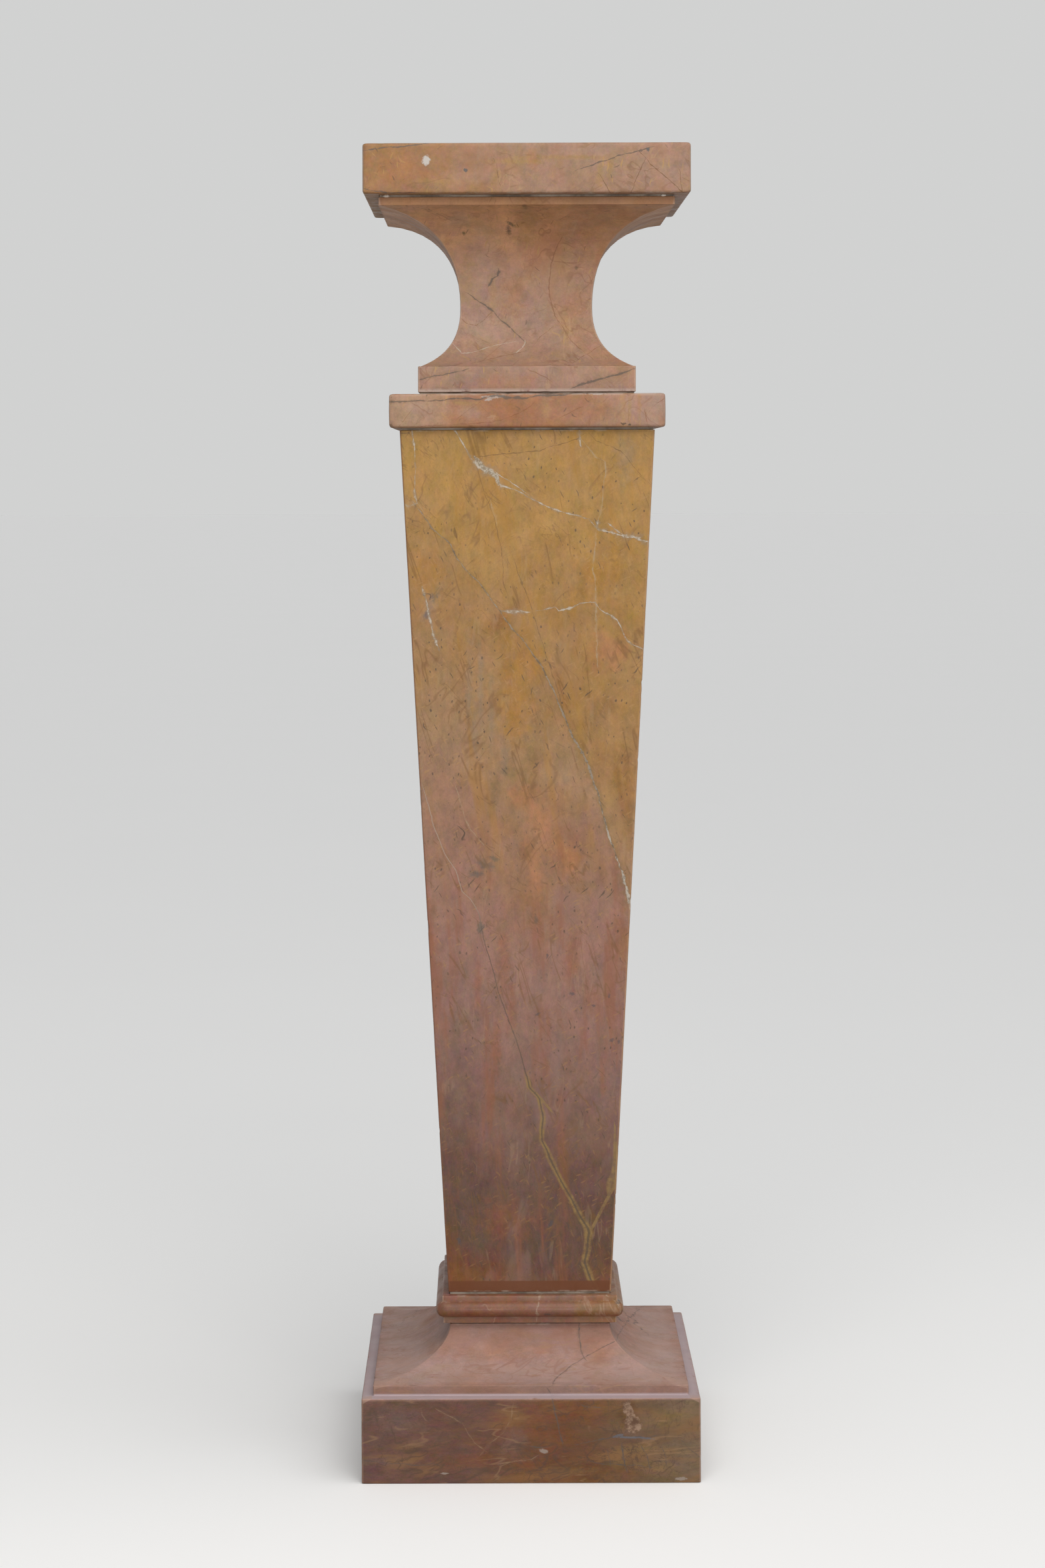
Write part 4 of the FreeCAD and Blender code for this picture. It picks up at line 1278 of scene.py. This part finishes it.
PLINTH_PATCHES = [
    ([(822, 2132, 70, 46), (760, 2140, 46, 30), (700, 2190, 90, 20), (880, 2120, 60, 30),
        (790, 2195, 50, 12)], 0.50, (0.165, 0.055, 0.018), 90),
    ([(925, 2190, 40, 20), (980, 2200, 50, 16), (860, 2207, 60, 10), (960, 2172, 60, 10),
        (1000, 2130, 60, 30)], 0.45, (0.215, 0.125, 0.045), 130),
    ([(600, 2130, 60, 30), (580, 2190, 60, 14),
        (770, 2165, 30, 40, 20)], 0.40, (0.175, 0.105, 0.085), 100),
    ([(760, 2020, 80, 30), (720, 2060, 60, 16), (900, 2030, 30, 24),
        (600, 2070, 40, 20)], 0.40, (0.36, 0.165, 0.085), 90),
]


def plinth_colour(marble, above):
    """Mauve-brown on the left, orange-brown in the middle and olive-ochre on the right."""
    block = across_ramp(marble, (541, 1051), 2160, PLINTH_BLOCK, 0.5, 13)
    flare = marble.ramp(marble.noise(15, 4.0, 0.6, 1.0), PLINTH_FLARE)
    # The block's front, far darker than the flare above it, is partly painted shade.
    marble.colour = marble.mix(above, block, flare)


def plinth_material():
    marble = Marble(STONES["plinth"])
    head = marble.stone.head
    above = marble.remap(marble.z, LEDGE - 0.003, LEDGE + 0.001)
    below = marble.math("SUBTRACT", 1.0, above)
    plinth_colour(marble, above)
    marble.patches(PLINTH_PATCHES)
    marble.mottle(0.60, 0.036, 64, marble.stretched((0.7, 0.7, 1.6)))
    marble.streaks((0.235, 0.115, 0.040), 34, 84, 0.25, 0.50, 0.66, 0.60, 3.0, below)
    marble.streaks((0.095, 0.045, 0.026), 26, 80, 0.3, 0.54, 0.68, 0.40, 9.0, below)
    marble.streaks((0.34, 0.145, 0.085), 30, 70, 0.4, 0.52, 0.68, 0.45, 14.0, above)
    marble.tint((0.130, 0.068, 0.048), marble.between(*BAND_LEVELS), 0.45)
    marble.tint((0.40, 0.275, 0.235), marble.between(*FLARE_FOOT_LEVELS), 0.45)
    # Painted shade: the top of the flare, under the collar, is darkened.
    marble.tint((0.20, 0.09, 0.058), marble.remap(marble.z, head - 0.030, head - 0.010), 0.42)
    ink = marble.mix(above, (0.075, 0.042, 0.027), (0.290, 0.152, 0.110))
    marble.net(22, 0.012, 0.38, 0.50, ink)
    right = marble.spots(PLINTH_TANGLE, 0.6, 0.5, 60)
    marble.tint((0.065, 0.040, 0.026), marble.hairlines(46, 0.020, 2.0), below, right, 0.65)
    marble.lines([(*row, ink) for row in PLINTH_INK_LINES])
    marble.lines(PLINTH_GOLD_LINES)
    marble.strokes(NECK_STROKES, marble.mix(above, DARK, (0.275, 0.138, 0.098)))
    share, around = marble.fitful(0.0, 0.30), ((0.26, 0.16, 0.09), 0.12)
    marble.draw(PLINTH_PALE, (0.36, 0.24, 0.14), share, around=around, thick=0.6)
    share, around = marble.fitful(0.45, 0.8), ((0.12, 0.075, 0.05), 0.18)
    marble.draw(PLINTH_DARK, (0.085, 0.068, 0.060), share, around=around, thick=0.7)
    marble.blot(PLINTH_PEBBLES, 0.7, (0.34, 0.28, 0.24), rough=0.5)
    marble.blot(PLINTH_SEAM, 0.7, (0.125, 0.120, 0.135))
    gouge = marble.spots(PLINTH_GOUGE, 0.5, 0.2, 200)
    rough = marble.remap(marble.noise(170, 4.0, 0.7), 0.40, 0.62)
    marble.tint(marble.mix(rough, (0.150, 0.080, 0.050), (0.36, 0.235, 0.160)), gouge, 0.9)
    marble.tint((0.43, 0.35, 0.37), marble.between(*LEDGE_LEVELS), 0.85)
    marble.residue(0.5, MORTAR, [head])
    # edge is the colour of the painted highlight on the plinth's arrises.
    return marble.finish(pits=gouge, edge=(0.40, 0.25, 0.19))


# ---- mortar and dowels ----


def mortar_material(name, dull, bright):
    graph = Graph(name)
    sand = graph.noise(420, 5.0, 0.7)
    patches = graph.remap(graph.noise(40, 4.0, 0.6), 0.35, 0.65)
    colour = graph.mix(patches, dull, bright)
    colour = graph.mix(graph.remap(sand, 0.62, 0.75, 0.0, 0.6), colour, (0.16, 0.13, 0.10))
    return graph.surface(colour, graph.remap(sand, 0.2, 0.8, 0.75, 0.95), 0.8, 0.0004, sand)


def steel_material():
    graph = Graph("dowel_steel")
    drawn = graph.noise(900, 3.0, 0.6, 0.0, graph.stretched((1.0, 1.0, 0.02)))
    rust = graph.remap(graph.noise(120, 5.0, 0.7), 0.55, 0.72)
    colour = graph.mix(rust, (0.42, 0.40, 0.38), (0.19, 0.085, 0.04))
    gloss = graph.remap(drawn, 0.3, 0.7, 0.28, 0.5)
    metal = graph.remap(rust, 0.0, 1.0, 1.0, 0.1)
    return graph.surface(colour, gloss, 0.4, 0.0001, drawn, Metallic=metal)


def dress_cad_node(name, material):
    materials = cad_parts[name].data.materials
    materials.clear()
    materials.append(material)


# Mortar squeezed out under the top slab: side, column, row, wide, high in the picture.
LUMPS = [("left", 579, 292.5, 11, 5), ("right", 996, 293.5, 9, 4)]
LUMP_ROWS, LUMP_COLUMNS = 8, 14
LUMP_Y = -0.1312
LUMP_DEPTH = 0.0016
HALF_BED = 0.001


def lump_mesh(name, centre, size):
    """A flattened, dented lump of mortar."""
    verts, faces = [], []
    for row in range(LUMP_ROWS + 1):
        polar = math.pi * row / LUMP_ROWS
        for column in range(LUMP_COLUMNS):
            turn = 2 * math.pi * column / LUMP_COLUMNS
            side = math.sin(polar)
            out = Vector((side * math.cos(turn), side * math.sin(turn), math.cos(polar)))
            dent = 0.8 + 0.45 * noise.noise(out * 1.7 + centre * 40)
            verts.append(centre + out * size * dent)
    for row in range(LUMP_ROWS):
        for column in range(LUMP_COLUMNS):
            a = row * LUMP_COLUMNS + column
            b = row * LUMP_COLUMNS + (column + 1) % LUMP_COLUMNS
            faces.append((a, a + LUMP_COLUMNS, b + LUMP_COLUMNS, b))
    mesh = bpy.data.meshes.new(name)
    mesh.from_pydata(verts, [], faces)
    mesh.polygons.foreach_set("use_smooth", [True] * len(faces))
    return mesh


def add_lumps(material):
    neck = STONES["neck"]
    pixel = neck.pixel_at(neck.head)
    for side, column, row, wide, high in LUMPS:
        name = f"mortar_lump_{side}"
        x = (column - axis_column(row)) * pixel
        size = Vector((wide * pixel / 2, LUMP_DEPTH, high * pixel / 2))
        mesh = lump_mesh(name, Vector((x, LUMP_Y, neck.head + HALF_BED)), size)
        add_piece(name, mesh, material)


# ---- floor, lights, camera ----

FLOOR_BOUNCE = (0.14, 0.125, 0.12)
WORLD_LIGHT = 0.25
BACKDROP = (0.640, 0.643, 0.639, 1)


def seen_directly(tree):
    """1 for rays from the camera and for reflections, 0 for light that bounces about."""
    path = tree.nodes.new("ShaderNodeLightPath")
    total = path.outputs["Is Camera Ray"]
    for kind in ("Is Glossy Ray", "Is Transmission Ray"):
        either = tree.nodes.new("ShaderNodeMath")
        either.operation = "MAXIMUM"
        tree.links.new(total, either.inputs[0])
        tree.links.new(path.outputs[kind], either.inputs[1])
        total = either.outputs[0]
    return total


def make_floor():
    graph = Graph("studio_floor")
    cloud = graph.noise(1.5, 3.0)
    pale = graph.mix(cloud, (0.955, 0.95, 0.94), (0.976, 0.971, 0.96))
    colour = graph.mix(seen_directly(graph.tree), FLOOR_BOUNCE, pale)
    graph.feed(graph.shader.inputs["Base Color"], colour)
    graph.feed(graph.shader.inputs["Roughness"], graph.remap(cloud, 0.2, 0.8, 0.6, 0.75))
    graph.shader.inputs["Specular IOR Level"].default_value = 0.2
    far = 60
    mesh = bpy.data.meshes.new("floor")
    corners = [(-far, -far, 0), (far, -far, 0), (far, far, 0), (-far, far, 0)]
    mesh.from_pydata(corners, [], [(0, 1, 2, 3)])
    mesh.materials.append(graph.material)
    floor = bpy.data.objects.new("floor", mesh)
    bpy.context.scene.collection.objects.link(floor)


def make_world():
    """A pale backdrop for the camera, and an even soft light for the stone."""
    world = bpy.data.worlds.new("studio")
    bpy.context.scene.world = world
    world.use_nodes = True
    tree = world.node_tree
    light = tree.nodes["Background"]
    light.inputs[0].default_value = (0.96, 0.98, 1.0, 1)
    light.inputs[1].default_value = WORLD_LIGHT
    backdrop = tree.nodes.new("ShaderNodeBackground")
    backdrop.inputs[0].default_value = BACKDROP
    mixed = tree.nodes.new("ShaderNodeMixShader")
    tree.links.new(seen_directly(tree), mixed.inputs[0])
    tree.links.new(light.outputs[0], mixed.inputs[1])
    tree.links.new(backdrop.outputs[0], mixed.inputs[2])
    tree.links.new(mixed.outputs[0], tree.nodes["World Output"].inputs[0])


def add_light(name, kind, place, target, energy, size=None, colour=(1, 1, 1)):
    lamp = bpy.data.lights.new(name, kind)
    lamp.energy = energy
    lamp.color = colour
    if kind == "AREA":
        lamp.shape = "RECTANGLE"
        lamp.size, lamp.size_y = size
    else:
        lamp.angle = size
    holder = bpy.data.objects.new(name, lamp)
    holder.location = place
    aim = Vector(target) - Vector(place)
    holder.rotation_euler = aim.to_track_quat("-Z", "Y").to_euler()
    bpy.context.scene.collection.objects.link(holder)


def make_lights():
    add_light("sky", "SUN", (0.9, -1.2, 3), (0, 0, 0.2), 1.45, math.radians(70))
    add_light("key", "AREA", (0.0, -2.0, 2.3), (0, 0, 1.1), 27, (2.2, 1.2), (1, 0.98, 0.95))
    add_light("fill", "AREA", (0.2, -3.2, 0.35), (0, 0, 0.95), 36, (1.6, 0.8), (1, 0.99, 0.97))


def make_camera():
    lens = bpy.data.cameras.new("camera")
    lens.sensor_fit = "AUTO"
    lens.sensor_width = SENSOR_MM
    lens.lens = FOCAL_PX * SENSOR_MM / PHOTO_LONG_SIDE
    lens.shift_x = (PHOTO_CENTRE[0] - VANISHING_COLUMN + SHIFT_TRIM_PX) / PHOTO_LONG_SIDE
    lens.shift_y = (HORIZON_ROW - PHOTO_CENTRE[1]) / PHOTO_LONG_SIDE
    holder = bpy.data.objects.new("camera", lens)
    holder.location = CAMERA_AT
    holder.rotation_euler = (math.radians(90), CAMERA_ROLL, 0)
    bpy.context.scene.collection.objects.link(holder)
    bpy.context.scene.camera = holder


def main():
    bpy.context.scene.view_settings.view_transform = "Standard"
    materials = {
        "plinth": (plinth_material(), "plinth_marble"),
        "collar": (collar_material(), "collar_marble"),
        "shaft": (shaft_material(), "shaft_marble"),
        "cap_slab": (cap_material(), "cap_marble"),
        "neck": (neck_material(), "neck_marble"),
        "top_slab": (top_material(), "top_marble"),
    }
    for name, (material, slot) in materials.items():
        make_stone(STONES[name], material)
    mortar = mortar_material("mortar_grey", (0.15, 0.115, 0.085), (0.36, 0.30, 0.24))
    pale_mortar = mortar_material("mortar_pale", (0.62, 0.55, 0.47), (0.80, 0.75, 0.68))
    steel = steel_material()
    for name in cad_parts:
        if name.startswith("mortar"):
            dress_cad_node(name, mortar)
        elif name.startswith("dowel"):
            dress_cad_node(name, steel)
    add_lumps(pale_mortar)
    make_floor()
    make_world()
    make_lights()
    make_camera()


main()
